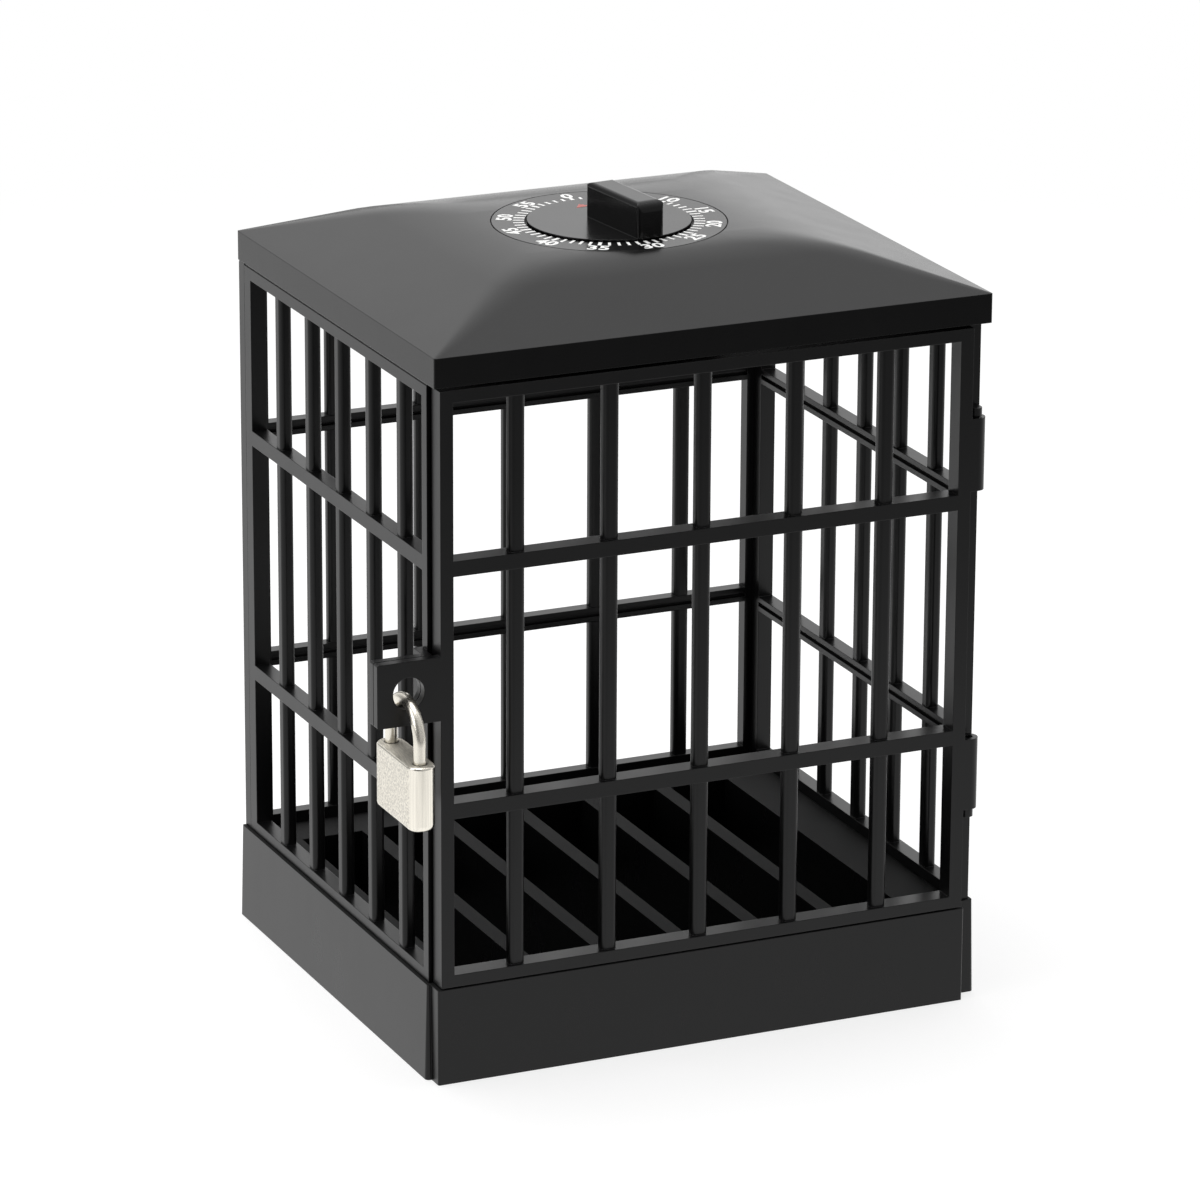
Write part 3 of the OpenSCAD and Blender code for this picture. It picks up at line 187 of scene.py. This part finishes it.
class MetalSettings(bpy.types.PropertyGroup):
    """Nickel plate, steel and brass"""

    nickel: FloatVectorProperty(
        name="Nickel", description="Colour of the padlock's plating",
        subtype="COLOR", size=4, min=0, max=1, default=(0.86, 0.82, 0.73, 1))
    steel: FloatVectorProperty(
        name="Steel", description="Colour of the movement's steel",
        subtype="COLOR", size=4, min=0, max=1, default=(0.46, 0.47, 0.48, 1))
    brass: FloatVectorProperty(
        name="Brass", description="Colour of the movement's brass",
        subtype="COLOR", size=4, min=0, max=1, default=(0.72, 0.5, 0.2, 1))
    edge_radius: FloatProperty(
        name="Edge rounding", description="Radius of the small rounding along metal edges",
        subtype="DISTANCE", unit="LENGTH", min=0, default=0.2 * MM)
    cloud: FloatProperty(
        name="Cloud size", description="Size of the faint clouds in the plating",
        subtype="DISTANCE", unit="LENGTH", min=0.1 * MM, default=5 * MM)
    brushing: FloatProperty(
        name="Brushing", description="Spacing of the brushed lines",
        subtype="DISTANCE", unit="LENGTH", min=0.01 * MM, default=0.12 * MM)
    brushing_depth: FloatProperty(
        name="Brushing depth", description="Depth of the brushed lines",
        subtype="DISTANCE", unit="LENGTH", min=0, default=0.03 * MM)
    sand: FloatProperty(
        name="Sand grain", description="Size of one grain of the padlock's sandblasted faces",
        subtype="DISTANCE", unit="LENGTH", min=0.01 * MM, default=0.5 * MM)
    sand_depth: FloatProperty(
        name="Sand depth", description="Depth of the padlock's sandblasted faces",
        subtype="DISTANCE", unit="LENGTH", min=0, default=0.06 * MM)
    # Width of the darkest painted shade round the shackle's legs
    leg_gap: FloatProperty(
        name="Leg gap", description="Dark gap round the shackle's legs",
        subtype="DISTANCE", unit="LENGTH", min=0, default=0.1 * MM)
    leg_shade: FloatProperty(
        name="Leg shade", description="How far the shade round the shackle's legs reaches",
        subtype="DISTANCE", unit="LENGTH", min=0, default=0.5 * MM)


class StageSettings(bpy.types.PropertyGroup):
    """Camera, floor and lamps"""

    camera_place: FloatVectorProperty(
        name="Camera place", description="Where the camera stands",
        subtype="XYZ", unit="LENGTH", size=3, default=(-0.63158, -1.39833, 0.59508))
    camera_turn: FloatVectorProperty(
        name="Camera turn", description="How the camera is tilted, rolled and turned",
        subtype="EULER", unit="ROTATION", size=3,
        default=tuple(math.radians(angle) for angle in (71.9102, -0.2626, -24.1551)))
    focal_length: FloatProperty(
        name="Focal length", description="Lens on a 36 mm sensor, in millimetres",
        min=10, default=195.71)
    overhead_power: FloatProperty(
        name="Overhead lamp", description="Power of the soft lamp overhead",
        subtype="POWER", unit="POWER", min=0, default=20)
    side_power: FloatProperty(
        name="Side lamp", description="Power of the soft lamp at the left",
        subtype="POWER", unit="POWER", min=0, default=5)
    back_power: FloatProperty(
        name="Back lamp", description="Power of the wide soft lamp behind the object",
        subtype="POWER", unit="POWER", min=0, default=4.2)
    room_level: FloatProperty(
        name="Room level", description="Strength of the light from all around",
        min=0, max=1, default=0.5)
    floor_grey: FloatVectorProperty(
        name="Floor", description="Colour of the floor under its own glow, which keeps the shadow faint",
        subtype="COLOR", size=4, min=0, max=1, default=(0.36, 0.36, 0.36, 1))
    floor_glow: FloatProperty(
        name="Floor glow", description="Glow of the floor towards the camera",
        min=0, max=1, default=0.74)
    floor_drop: FloatProperty(
        name="Floor drop", description="How far the floor lies under the base",
        subtype="DISTANCE", unit="LENGTH", min=0, default=0.1 * MM)
    floor_low: FloatVectorProperty(
        name="Floor's near left corner", description="Where the floor starts",
        subtype="XYZ", unit="LENGTH", size=2, default=(-3, -1.2))
    floor_high: FloatVectorProperty(
        name="Floor's far right corner", description="Where the floor ends",
        subtype="XYZ", unit="LENGTH", size=2, default=(3, 4))


# Finishes


class NodeTree:
    """A node tree under construction, with short ways to add nodes."""

    def __init__(self, tree):
        self.tree = tree

    def link(self, source, target):
        self.tree.links.new(source, target)

    def put(self, value, socket):
        """Links an output to a socket, or writes a plain value there."""
        if isinstance(value, bpy.types.NodeSocket):
            self.link(value, socket)
        else:
            socket.default_value = value

    def add(self, kind, sockets=None, **values):
        """Adds a node, sets its properties and fills its sockets."""
        node = self.tree.nodes.new(kind)
        for key, value in values.items():
            setattr(node, key, value)
        for key, value in (sockets or {}).items():
            self.put(value, node.inputs[key])
        return node

    def math(self, operation, *values):
        """Arithmetic on outputs and plain numbers."""
        return self.add("ShaderNodeMath", dict(enumerate(values)), operation=operation).outputs[0]

    def spread(self, value, low, high, start=0.3, end=0.7):
        """Maps the values from start to end onto those from low to high."""
        sockets = {"Value": value, "From Min": start, "From Max": end, "To Min": low, "To Max": high}
        return self.add("ShaderNodeMapRange", sockets).outputs["Result"]

    def fade(self, value, start, end):
        """A smooth step from one (value, result) pair to another."""
        output = self.spread(value, start[1], end[1], start[0], end[0])
        output.node.interpolation_type = "SMOOTHSTEP"
        return output

    def blend(self, factor, first, second, kind="Float"):
        """Goes from the first number to the second, or between vectors where kind is Vector."""
        node = self.add("ShaderNodeMix", data_type=kind.upper())
        sockets = {socket.identifier: socket for socket in (*node.inputs, *node.outputs)}
        self.put(factor, sockets["Factor_Float"])
        self.put(first, sockets["A_" + kind])
        self.put(second, sockets["B_" + kind])
        return sockets["Result_" + kind]

    def parts(self, vector):
        """The three components of a vector."""
        return self.add("ShaderNodeSeparateXYZ", {0: vector}).outputs[:]


class Finish(NodeTree):
    """A material under construction: its tree, its shader and the surface's place and facing."""

    def __init__(self, name):
        self.material = bpy.data.materials.new(name)
        self.material.use_nodes = True
        super().__init__(self.material.node_tree)
        self.shader = self.tree.nodes["Principled BSDF"]
        coordinates = self.add("ShaderNodeTexCoord").outputs
        self.place = coordinates["Object"]
        self.facing = coordinates["Normal"]

    def set(self, **values):
        """Fills sockets of the shader."""
        for key, value in values.items():
            self.put(value, self.shader.inputs[key.replace("_", " ")])

    def noise(self, size, detail, stretch=(1, 1, 1)):
        """Noise whose blobs are about as long as size; stretch makes it longer along an axis."""
        scale = [1 / (size * longer) for longer in stretch]
        place = self.add("ShaderNodeMapping", {"Scale": scale, "Vector": self.place}).outputs["Vector"]
        texture = self.add("ShaderNodeTexNoise", {"Scale": 1, "Detail": detail, "Vector": place})
        return texture.outputs["Fac"]

    def ramp(self, value, *stops):
        """Colours by value, from (value, colour) pairs."""
        node = self.add("ShaderNodeValToRGB", {"Fac": value})
        marks = node.color_ramp.elements
        while len(marks) < len(stops):
            marks.new(0.5)
        for mark, (at, colour) in zip(marks, stops):
            mark.position = at
            mark.color = colour
        return node.outputs["Color"]

    def scaled(self, colour, factor):
        """A colour multiplied by a factor."""
        sockets = {0: colour[:3], "Scale": factor}
        return self.add("ShaderNodeVectorMath", sockets, operation="SCALE").outputs[0]

    def distance(self, axis):
        """Distance from an upright axis through (x, y)."""
        x, y, _ = self.parts(self.place)
        across = self.math("SUBTRACT", x, axis[0])
        along = self.math("SUBTRACT", y, axis[1])
        squares = [self.math("MULTIPLY", offset, offset) for offset in (across, along)]
        return self.math("SQRT", self.math("ADD", *squares))

    def rounded(self, radius):
        """A normal that rounds edges in the shading."""
        return self.add("ShaderNodeBevel", {"Radius": radius}, samples=BEVEL_SAMPLES).outputs["Normal"]

    def bump(self, height, strength, depth, normal=None):
        """A normal bent by height."""
        node = self.add("ShaderNodeBump", {"Strength": strength, "Distance": depth, "Height": height})
        if normal:
            self.link(normal, node.inputs["Normal"])
        return node.outputs["Normal"]

    def glow(self, strength):
        """A shader that gives off white light."""
        return self.add("ShaderNodeEmission", {"Strength": strength}).outputs[0]

    def layered(self, factor, first, second):
        """A shader that goes from the first to the second."""
        return self.add("ShaderNodeMixShader", {0: factor, 1: first, 2: second}).outputs[0]


def shade(colour, factor):
    """A darker or lighter colour."""
    return (*[min(1.0, part * factor) for part in colour[:3]], 1.0)


def moulded_plastic(name, colour, settings, rough, texture=0.1, deck_rough=None, roof=False):
    """Satin moulded plastic: fine grain, faint flow marks in the gloss, edges softly rounded.

    texture is the strength of its grain, and deck_rough the roughness of its level faces where these are
    duller. roof gives it the roof's soft form and the lid's shine.
    """
    finish = Finish(name)
    tone = finish.noise(settings.cloud, detail=3)
    colours = finish.ramp(tone, (0.3, shade(colour, 0.86)), (0.7, shade(colour, 1.16)))
    flow = finish.noise(settings.flow, detail=5, stretch=(1, 1, 2.5))
    gloss = finish.spread(flow, low=rough - 0.012, high=rough + 0.016)
    if deck_rough:
        level = finish.spread(finish.parts(finish.facing)[2], 0, 1, start=0.9, end=0.98)
        gloss = finish.math("ADD", gloss, finish.math("MULTIPLY", level, deck_rough - rough))
    normal = finish.rounded(settings.edge_radius)
    if roof:
        normal = pillow(finish, normal, settings)
    grain = finish.noise(settings.grain, detail=2)
    finish.set(
        Base_Color=colours,
        Roughness=gloss,
        IOR=settings.lid_shine if roof else settings.shine,
        Normal=finish.bump(grain, texture, settings.grain_depth, normal))
    return finish.material


def pillow(finish, normal, settings):
    """The roof's normal where it faces up: slopes that curve away from the dial, with hips that fade."""
    x, y, _ = finish.parts(finish.place)
    inner = DIAL_HIGH.x / math.sqrt(2)
    runs = [
        finish.spread(finish.math("ABSOLUTE", offset), 0, 1, start=inner, end=edge)
        for offset, edge in ((x, LID_HIGH.x), (y, LID_HIGH.y))]
    outward = finish.math("MAXIMUM", *runs)
    softness = finish.spread(outward, settings.hip_softness, settings.eave_softness, start=0, end=1)
    run = finish.math("SMOOTH_MAX", *runs, softness)
    # The slope grows evenly over the curved share, and the drop with its square
    curve = settings.roof_curve
    short = finish.math("SUBTRACT", curve, finish.math("MINIMUM", run, curve))
    held_back = finish.math("DIVIDE", finish.math("MULTIPLY", short, short), 2 * curve)
    drop = finish.math("ADD", run, held_back)
    rise = settings.roof_rise * (LID_HIGH.z - LID_LOW.z)
    height = finish.math("MULTIPLY", drop, -rise / (1 - curve / 2))
    up = finish.add(
        "ShaderNodeVectorTransform", {0: UP},
        vector_type="NORMAL", convert_from="OBJECT", convert_to="WORLD")
    smooth = finish.bump(height, strength=1, depth=1, normal=up.outputs[0])
    upward = finish.spread(finish.parts(normal)[2], 0, 1, start=0.75, end=0.9)
    return finish.blend(upward, normal, smooth, "Vector")


def plated_metal(name, colour, settings, rough, stretch):
    """Plated or brushed metal: stretch draws out its brushed lines along an axis."""
    finish = Finish(name)
    cloud = finish.noise(settings.cloud, detail=4)
    line = finish.noise(settings.brushing, detail=3, stretch=stretch)
    edge = finish.rounded(settings.edge_radius)
    finish.set(
        Metallic=1,
        Base_Color=finish.ramp(cloud, (0.3, shade(colour, 0.9)), (0.72, shade(colour, 1.06))),
        Roughness=finish.spread(line, low=rough - 0.06, high=rough + 0.08),
        Normal=finish.bump(line, strength=0.06, depth=settings.brushing_depth, normal=edge))
    return finish.material


def plated_lock(name, colour, settings):
    """Plated lock body: sandblasted broad faces, polished ends, a brushed top with painted shade round the
    shackle's legs.
    """
    finish = Finish(name)
    across, _, up = finish.parts(finish.facing)
    broad = finish.spread(finish.math("ABSOLUTE", across), 0, 1, start=0.9, end=0.97)
    top = finish.spread(up, 0, 1, start=0.8, end=0.95)
    sand = finish.noise(settings.sand, detail=2)
    streak = finish.noise(4 * settings.brushing, detail=3, stretch=(1, 1, 40))
    line = finish.noise(settings.brushing, detail=3, stretch=(1, 14, 1))
    blasted = finish.spread(sand, low=0.7, high=1.1, start=0.36, end=0.64)
    tone = finish.blend(broad, finish.spread(streak, low=0.9, high=1.08), blasted)
    tone = finish.blend(top, tone, finish.spread(line, low=0.5, high=0.95))
    wire = (SHACKLE_HIGH.x - SHACKLE_LOW.x) / 2
    gap = wire + settings.leg_gap
    shadow = wire + settings.leg_shade
    # Painted shade: the top is darkest in the gap round each leg and lightens further out
    for leg in (SHACKLE_LOW.y + wire, SHACKLE_HIGH.y - wire):
        reach = finish.distance((SHACKLE_LOW.x + wire, leg))
        tone = finish.math("MULTIPLY", tone, finish.spread(reach, low=0.12, high=1, start=gap, end=shadow))
    rough = finish.spread(broad, low=0.12, high=0.36, start=0, end=1)
    rough = finish.math("ADD", rough, finish.spread(top, low=0, high=0.45, start=0, end=1))
    strength = finish.spread(broad, low=0.04, high=0.6, start=0, end=1)
    edge = finish.rounded(settings.edge_radius)
    finish.set(
        Metallic=1,
        Base_Color=finish.scaled(colour, tone),
        Roughness=finish.math("ADD", rough, finish.spread(line, low=0, high=0.08)),
        Normal=finish.bump(finish.blend(broad, line, sand), strength, settings.sand_depth, edge))
    return finish.material


def printed_ink(name, colour, settings, rough):
    """Pad-printed ink, a little thin in places."""
    finish = Finish(name)
    wear = finish.noise(settings.ink_wear, detail=3)
    finish.set(
        Base_Color=finish.ramp(wear, (0.25, shade(colour, 0.8)), (0.5, colour), (0.8, shade(colour, 1.04))),
        Roughness=finish.spread(wear, low=rough - 0.05, high=rough + 0.1),
        Normal=finish.bump(wear, strength=0.05, depth=settings.wear_depth))
    return finish.material


def dress(material, *names):
    """Puts a material on CAD nodes."""
    for name in names:
        mesh = nodes[name].data
        mesh.materials.clear()
        mesh.materials.append(material)


def print_patch(bm, corners, low, high, turn=Matrix.Identity(4)):
    """A flat patch of ink with a thin rim, as a closed prism."""
    lower, upper = ([bm.verts.new(turn @ Vector((x, y, z))) for x, y in corners] for z in (low, high))
    bm.faces.new(reversed(lower))
    bm.faces.new(upper)
    for k in range(len(corners)):
        after = (k + 1) % len(corners)
        bm.faces.new((lower[k], lower[after], upper[after], upper[k]))


def minute_turn(minute):
    """The turn round the dial from its top to a minute's place."""
    return Matrix.Rotation(-math.tau * minute / MINUTES, 4, "Z")


def place_in_scene(name, data):
    """A new object in the scene."""
    thing = bpy.data.objects.new(name, data)
    bpy.context.scene.collection.objects.link(thing)
    return thing


def mesh_from(bm, name, material):
    """A new mesh object from a bmesh."""
    mesh = bpy.data.meshes.new(name)
    bm.to_mesh(mesh)
    bm.free()
    mesh.materials.append(material)
    return place_in_scene(name, mesh)


def piece_from(bm, name, material, body):
    """A new piece from a bmesh, riding on a body."""
    piece = mesh_from(bm, name, material)
    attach(piece, body)


# Pieces


class PHONEJAIL_OT_base(bpy.types.Operator):
    """Finish the base in black plastic with a duller deck"""

    bl_idname = "phonejail.base"
    bl_label = "Base"

    def execute(self, context):
        look = context.scene.phonejail_plastic
        black = moulded_plastic("base_black_plastic", look.base_black, look, rough=0.28, deck_rough=0.75)
        dress(black, "base")
        return {"FINISHED"}


class PHONEJAIL_OT_cage(bpy.types.Operator):
    """Finish the walls, the door and the timer's case in satin black plastic"""

    bl_idname = "phonejail.cage"
    bl_label = "Cage"

    def execute(self, context):
        look = context.scene.phonejail_plastic
        black = moulded_plastic("satin_black_plastic", look.cage_black, look, rough=0.3)
        dress(black, "left_wall", "right_wall", "back_wall", "door", "timer_case")
        return {"FINISHED"}


class PHONEJAIL_OT_lid(bpy.types.Operator):
    """Finish the lid in satin black plastic"""

    bl_idname = "phonejail.lid"
    bl_label = "Lid"

    def execute(self, context):
        look = context.scene.phonejail_plastic
        black = moulded_plastic("lid_black_plastic", look.lid_black, look, rough=0.22, roof=True)
        dress(black, "lid")
        return {"FINISHED"}


class PHONEJAIL_OT_dial(bpy.types.Operator):
    """Print the minute scale on the dial's ring"""

    bl_idname = "phonejail.dial"
    bl_label = "Dial"

    def execute(self, context):
        plastic = context.scene.phonejail_plastic
        look = context.scene.phonejail_dial
        ring = moulded_plastic("dial_black_plastic", plastic.lid_black, plastic, rough=0.2, texture=0.06)
        dress(ring, "dial_plate")
        ink = printed_ink("dial_white_ink", look.ink, look, rough=0.5)
        low = DIAL_HIGH.z - look.ink_root
        high = DIAL_HIGH.z + look.ink_height
        self.ticks(look, ink, low, high)
        self.numerals(look, ink, low, high)
        return {"FINISHED"}

    def ticks(self, look, ink, low, high):
        inner = look.tick_start
        outer = inner + look.tick_length
        bm = bmesh.new()
        for minute in range(MINUTES):
            half = look.tick_width / 2
            if minute % NUMBERED_MINUTES == 0:
                half *= look.numbered_tick
            corners = ((-half, inner), (half, inner), (half, outer), (-half, outer))
            print_patch(bm, corners, low, high, minute_turn(minute))
        piece_from(bm, "minute_ticks", ink, "cage")

    def numerals(self, look, ink, low, high):
        bm = bmesh.new()
        for minute in range(0, MINUTES, NUMBERED_MINUTES):
            numeral = self.numeral(str(minute), look, high - low)
            # On the dial's front half they stand with their feet outward
            if MINUTES / 4 < minute < 3 * MINUTES / 4:
                numeral.transform(Matrix.Rotation(math.pi, 4, "Z"))
            numeral.transform(Matrix.Translation((0, look.numeral_radius, (low + high) / 2)))
            numeral.transform(minute_turn(minute))
            bm.from_mesh(numeral)
            bpy.data.meshes.remove(numeral)
        bmesh.ops.remove_doubles(bm, verts=bm.verts, dist=WELD_DISTANCE)
        piece_from(bm, "minute_numerals", ink, "cage")

    def numeral(self, figures, look, thickness):
        """The mesh of one numeral, with its middle at the origin."""
        text = bpy.data.curves.new("numeral", "FONT")
        text.body = figures
        text.align_x = "CENTER"
        text.align_y = "CENTER"
        text.size = look.numeral_height / FIGURE_SHARE
        text.offset = look.numeral_weight * text.size
        text.extrude = thickness / 2
        text.space_character = look.numeral_spacing
        text.resolution_u = CURVE_STEPS
        holder = place_in_scene("numeral", text)
        bpy.context.view_layer.update()
        mesh = bpy.data.meshes.new_from_object(holder.evaluated_get(bpy.context.evaluated_depsgraph_get()))
        bpy.data.objects.remove(holder)
        bpy.data.curves.remove(text)
        spans = [[vertex.co[axis] for vertex in mesh.vertices] for axis in (0, 1)]
        x, y = ((min(span) + max(span)) / 2 for span in spans)
        mesh.transform(Matrix.Translation((-x, -y, 0)))
        mesh.transform(Matrix.Diagonal((look.numeral_width, 1, 1, 1)))
        return mesh


class PHONEJAIL_OT_knob(bpy.types.Operator):
    """Finish the knob and print its red pointer"""

    bl_idname = "phonejail.knob"
    bl_label = "Knob"

    def execute(self, context):
        plastic = context.scene.phonejail_plastic
        look = context.scene.phonejail_dial
        black = moulded_plastic("knob_black_plastic", plastic.knob_black, plastic, rough=0.2, texture=0.06)
        dress(black, "timer_knob")
        disc = DIAL_HIGH.z + look.disc_rise
        corners = (look.pointer_left, look.pointer_right, look.pointer_tip)
        bm = bmesh.new()
        print_patch(bm, corners, disc - look.ink_root, disc + look.ink_height)
        red = printed_ink("pointer_red_ink", look.pointer_red, look, rough=0.45)
        piece_from(bm, "knob_pointer", red, "timer")
        return {"FINISHED"}


class PHONEJAIL_OT_padlock(bpy.types.Operator):
    """Plate the padlock, and the timer's bell with it"""

    bl_idname = "phonejail.padlock"
    bl_label = "Padlock"

    def execute(self, context):
        look = context.scene.phonejail_metal
        dress(plated_lock("padlock_nickel", look.nickel, look), "padlock_body")
        bright = plated_metal("shackle_nickel", look.nickel, look, rough=0.26, stretch=(1, 1, 8))
        dress(bright, "shackle", "bell")
        return {"FINISHED"}


class PHONEJAIL_OT_works(bpy.types.Operator):
    """Finish the brass and steel inside the timer and the padlock"""

    bl_idname = "phonejail.works"
    bl_label = "Works"

    def execute(self, context):
        look = context.scene.phonejail_metal
        metals = {
            "brass": plated_metal("movement_brass", look.brass, look, rough=0.3, stretch=(8, 1, 1)),
            "steel": plated_metal("movement_steel", look.steel, look, rough=0.3, stretch=(1, 1, 8)),
        }
        for name in nodes:
            if slots.get(name) in metals:
                dress(metals[slots[name]], name)
        return {"FINISHED"}


class PHONEJAIL_OT_stage(bpy.types.Operator):
    """Set up the camera, the pale floor and the soft light"""

    bl_idname = "phonejail.stage"
    bl_label = "Stage"

    def execute(self, context):
        scene = context.scene
        look = scene.phonejail_stage
        scene.view_settings.view_transform = "Standard"
        scene.camera = self.camera(look)
        self.floor(look)
        self.lamp("overhead_lamp", look.overhead_power, place=(-0.15, 0.25, 1.6), aim=(0, 0, 0.1), size=1.3)
        self.lamp("side_lamp", look.side_power, place=(-1.4, -0.1, 0.8), aim=(0, 0, 0.1), size=0.9)
        self.lamp("back_lamp", look.back_power, place=(1.4, 1.7, 1.3), aim=(0, 0, 0.2), size=2.6)
        scene.world = self.room(look)
        return {"FINISHED"}

    def camera(self, look):
        lens = bpy.data.cameras.new("camera")
        lens.sensor_width = 36
        lens.lens = look.focal_length
        lens.clip_start = 0.05
        lens.clip_end = 50
        camera = place_in_scene("camera", lens)
        camera.matrix_world = Matrix.LocRotScale(look.camera_place, look.camera_turn, None)
        return camera

    def floor(self, look):
        (left, near), (right, far) = look.floor_low, look.floor_high
        corners = ((left, near), (right, near), (right, far), (left, far))
        bm = bmesh.new()
        bm.faces.new([bm.verts.new((x, y, -look.floor_drop)) for x, y in corners])
        mesh_from(bm, "floor", self.paper(look))

    def paper(self, look):
        """White paper that keeps a faint shadow, fades to plain white far out and is clear from below."""
        finish = Finish("floor_white")
        path = finish.add("ShaderNodeLightPath").outputs
        sheet = finish.add("ShaderNodeBsdfDiffuse", {"Color": look.floor_grey}).outputs[0]
        glow = finish.glow(finish.math("MULTIPLY", path["Is Camera Ray"], look.floor_glow))
        near = finish.add("ShaderNodeAddShader", {0: sheet, 1: glow}).outputs[0]
        outward = finish.fade(finish.distance((0, 0)), start=(0.4, 0), end=(0.8, 1))
        far = finish.math("MULTIPLY", outward, path["Is Camera Ray"])
        seen = finish.layered(far, near, finish.glow(1))
        # What the object mirrors of it is a painted glow, darker in front
        backward = finish.parts(finish.place)[1]
        mirrored = finish.glow(finish.fade(backward, start=(-0.65, 0.2), end=(-0.15, 1.08)))
        upper = finish.layered(path["Is Glossy Ray"], seen, mirrored)
        clear = finish.add("ShaderNodeBsdfTransparent").outputs[0]
        below = finish.add("ShaderNodeNewGeometry").outputs["Backfacing"]
        surface = finish.layered(below, upper, clear)
        finish.link(surface, finish.tree.nodes["Material Output"].inputs["Surface"])
        finish.tree.nodes.remove(finish.shader)
        return finish.material

    def lamp(self, name, power, place, aim, size):
        light = bpy.data.lights.new(name, "AREA")
        light.shape = "SQUARE"
        light.size = size
        light.energy = power
        lamp = place_in_scene(name, light)
        lamp.location = place
        lamp.rotation_euler = (Vector(aim) - Vector(place)).to_track_quat("-Z", "Y").to_euler()

    def room(self, look):
        """A white room whose light is weaker from in front and from the left, and stronger overhead."""
        world = bpy.data.worlds.new("room")
        world.use_nodes = True
        room = NodeTree(world.node_tree)
        x, y, z = room.parts(room.add("ShaderNodeTexCoord").outputs["Generated"])
        front = room.fade(y, start=(-0.6, 0.5), end=(0.15, 1))
        left = room.fade(x, start=(-0.5, 0.4), end=(0.05, 1))
        above = room.fade(z, start=(0.5, 1), end=(0.72, 1.22))
        tone = room.math("MULTIPLY", front, room.math("MULTIPLY", left, above))
        path = room.add("ShaderNodeLightPath").outputs
        level = room.blend(path["Is Glossy Ray"], look.room_level, 1)
        white = room.math("MAXIMUM", path["Is Camera Ray"], path["Is Transmission Ray"])
        strength = room.math("MAXIMUM", white, room.math("MULTIPLY", level, tone))
        background = world.node_tree.nodes["Background"].inputs
        room.put((1, 1, 1, 1), background["Color"])
        room.put(strength, background["Strength"])
        return world


class PHONEJAIL_PT_panel(bpy.types.Panel):
    """Lists the phone jail's operators and settings"""

    bl_idname = "PHONEJAIL_PT_panel"
    bl_label = "Phone jail"
    bl_space_type = "VIEW_3D"
    bl_region_type = "UI"
    bl_category = "Phone jail"

    def draw(self, context):
        for group in SETTINGS:
            settings = getattr(context.scene, group)
            box = self.layout.box()
            for key in settings.bl_rna.properties.keys():
                if key not in {"rna_type", "name"}:
                    box.prop(settings, key)
        for operator in OPERATORS:
            self.layout.operator(operator.bl_idname)


SETTINGS = {
    "phonejail_plastic": PlasticSettings,
    "phonejail_dial": DialSettings,
    "phonejail_metal": MetalSettings,
    "phonejail_stage": StageSettings,
}
OPERATORS = (
    PHONEJAIL_OT_stage,
    PHONEJAIL_OT_base,
    PHONEJAIL_OT_cage,
    PHONEJAIL_OT_lid,
    PHONEJAIL_OT_dial,
    PHONEJAIL_OT_knob,
    PHONEJAIL_OT_padlock,
    PHONEJAIL_OT_works,
)
CLASSES = (*SETTINGS.values(), *OPERATORS, PHONEJAIL_PT_panel)


def register():
    for cls in CLASSES:
        bpy.utils.register_class(cls)
    for name, group in SETTINGS.items():
        setattr(bpy.types.Scene, name, PointerProperty(type=group))


def unregister():
    for name in SETTINGS:
        delattr(bpy.types.Scene, name)
    for cls in reversed(CLASSES):
        bpy.utils.unregister_class(cls)


def main():
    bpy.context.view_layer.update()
    register()
    for operator in OPERATORS:
        group, name = operator.bl_idname.split(".")
        getattr(getattr(bpy.ops, group), name)()


if __name__ == "__main__":
    main()
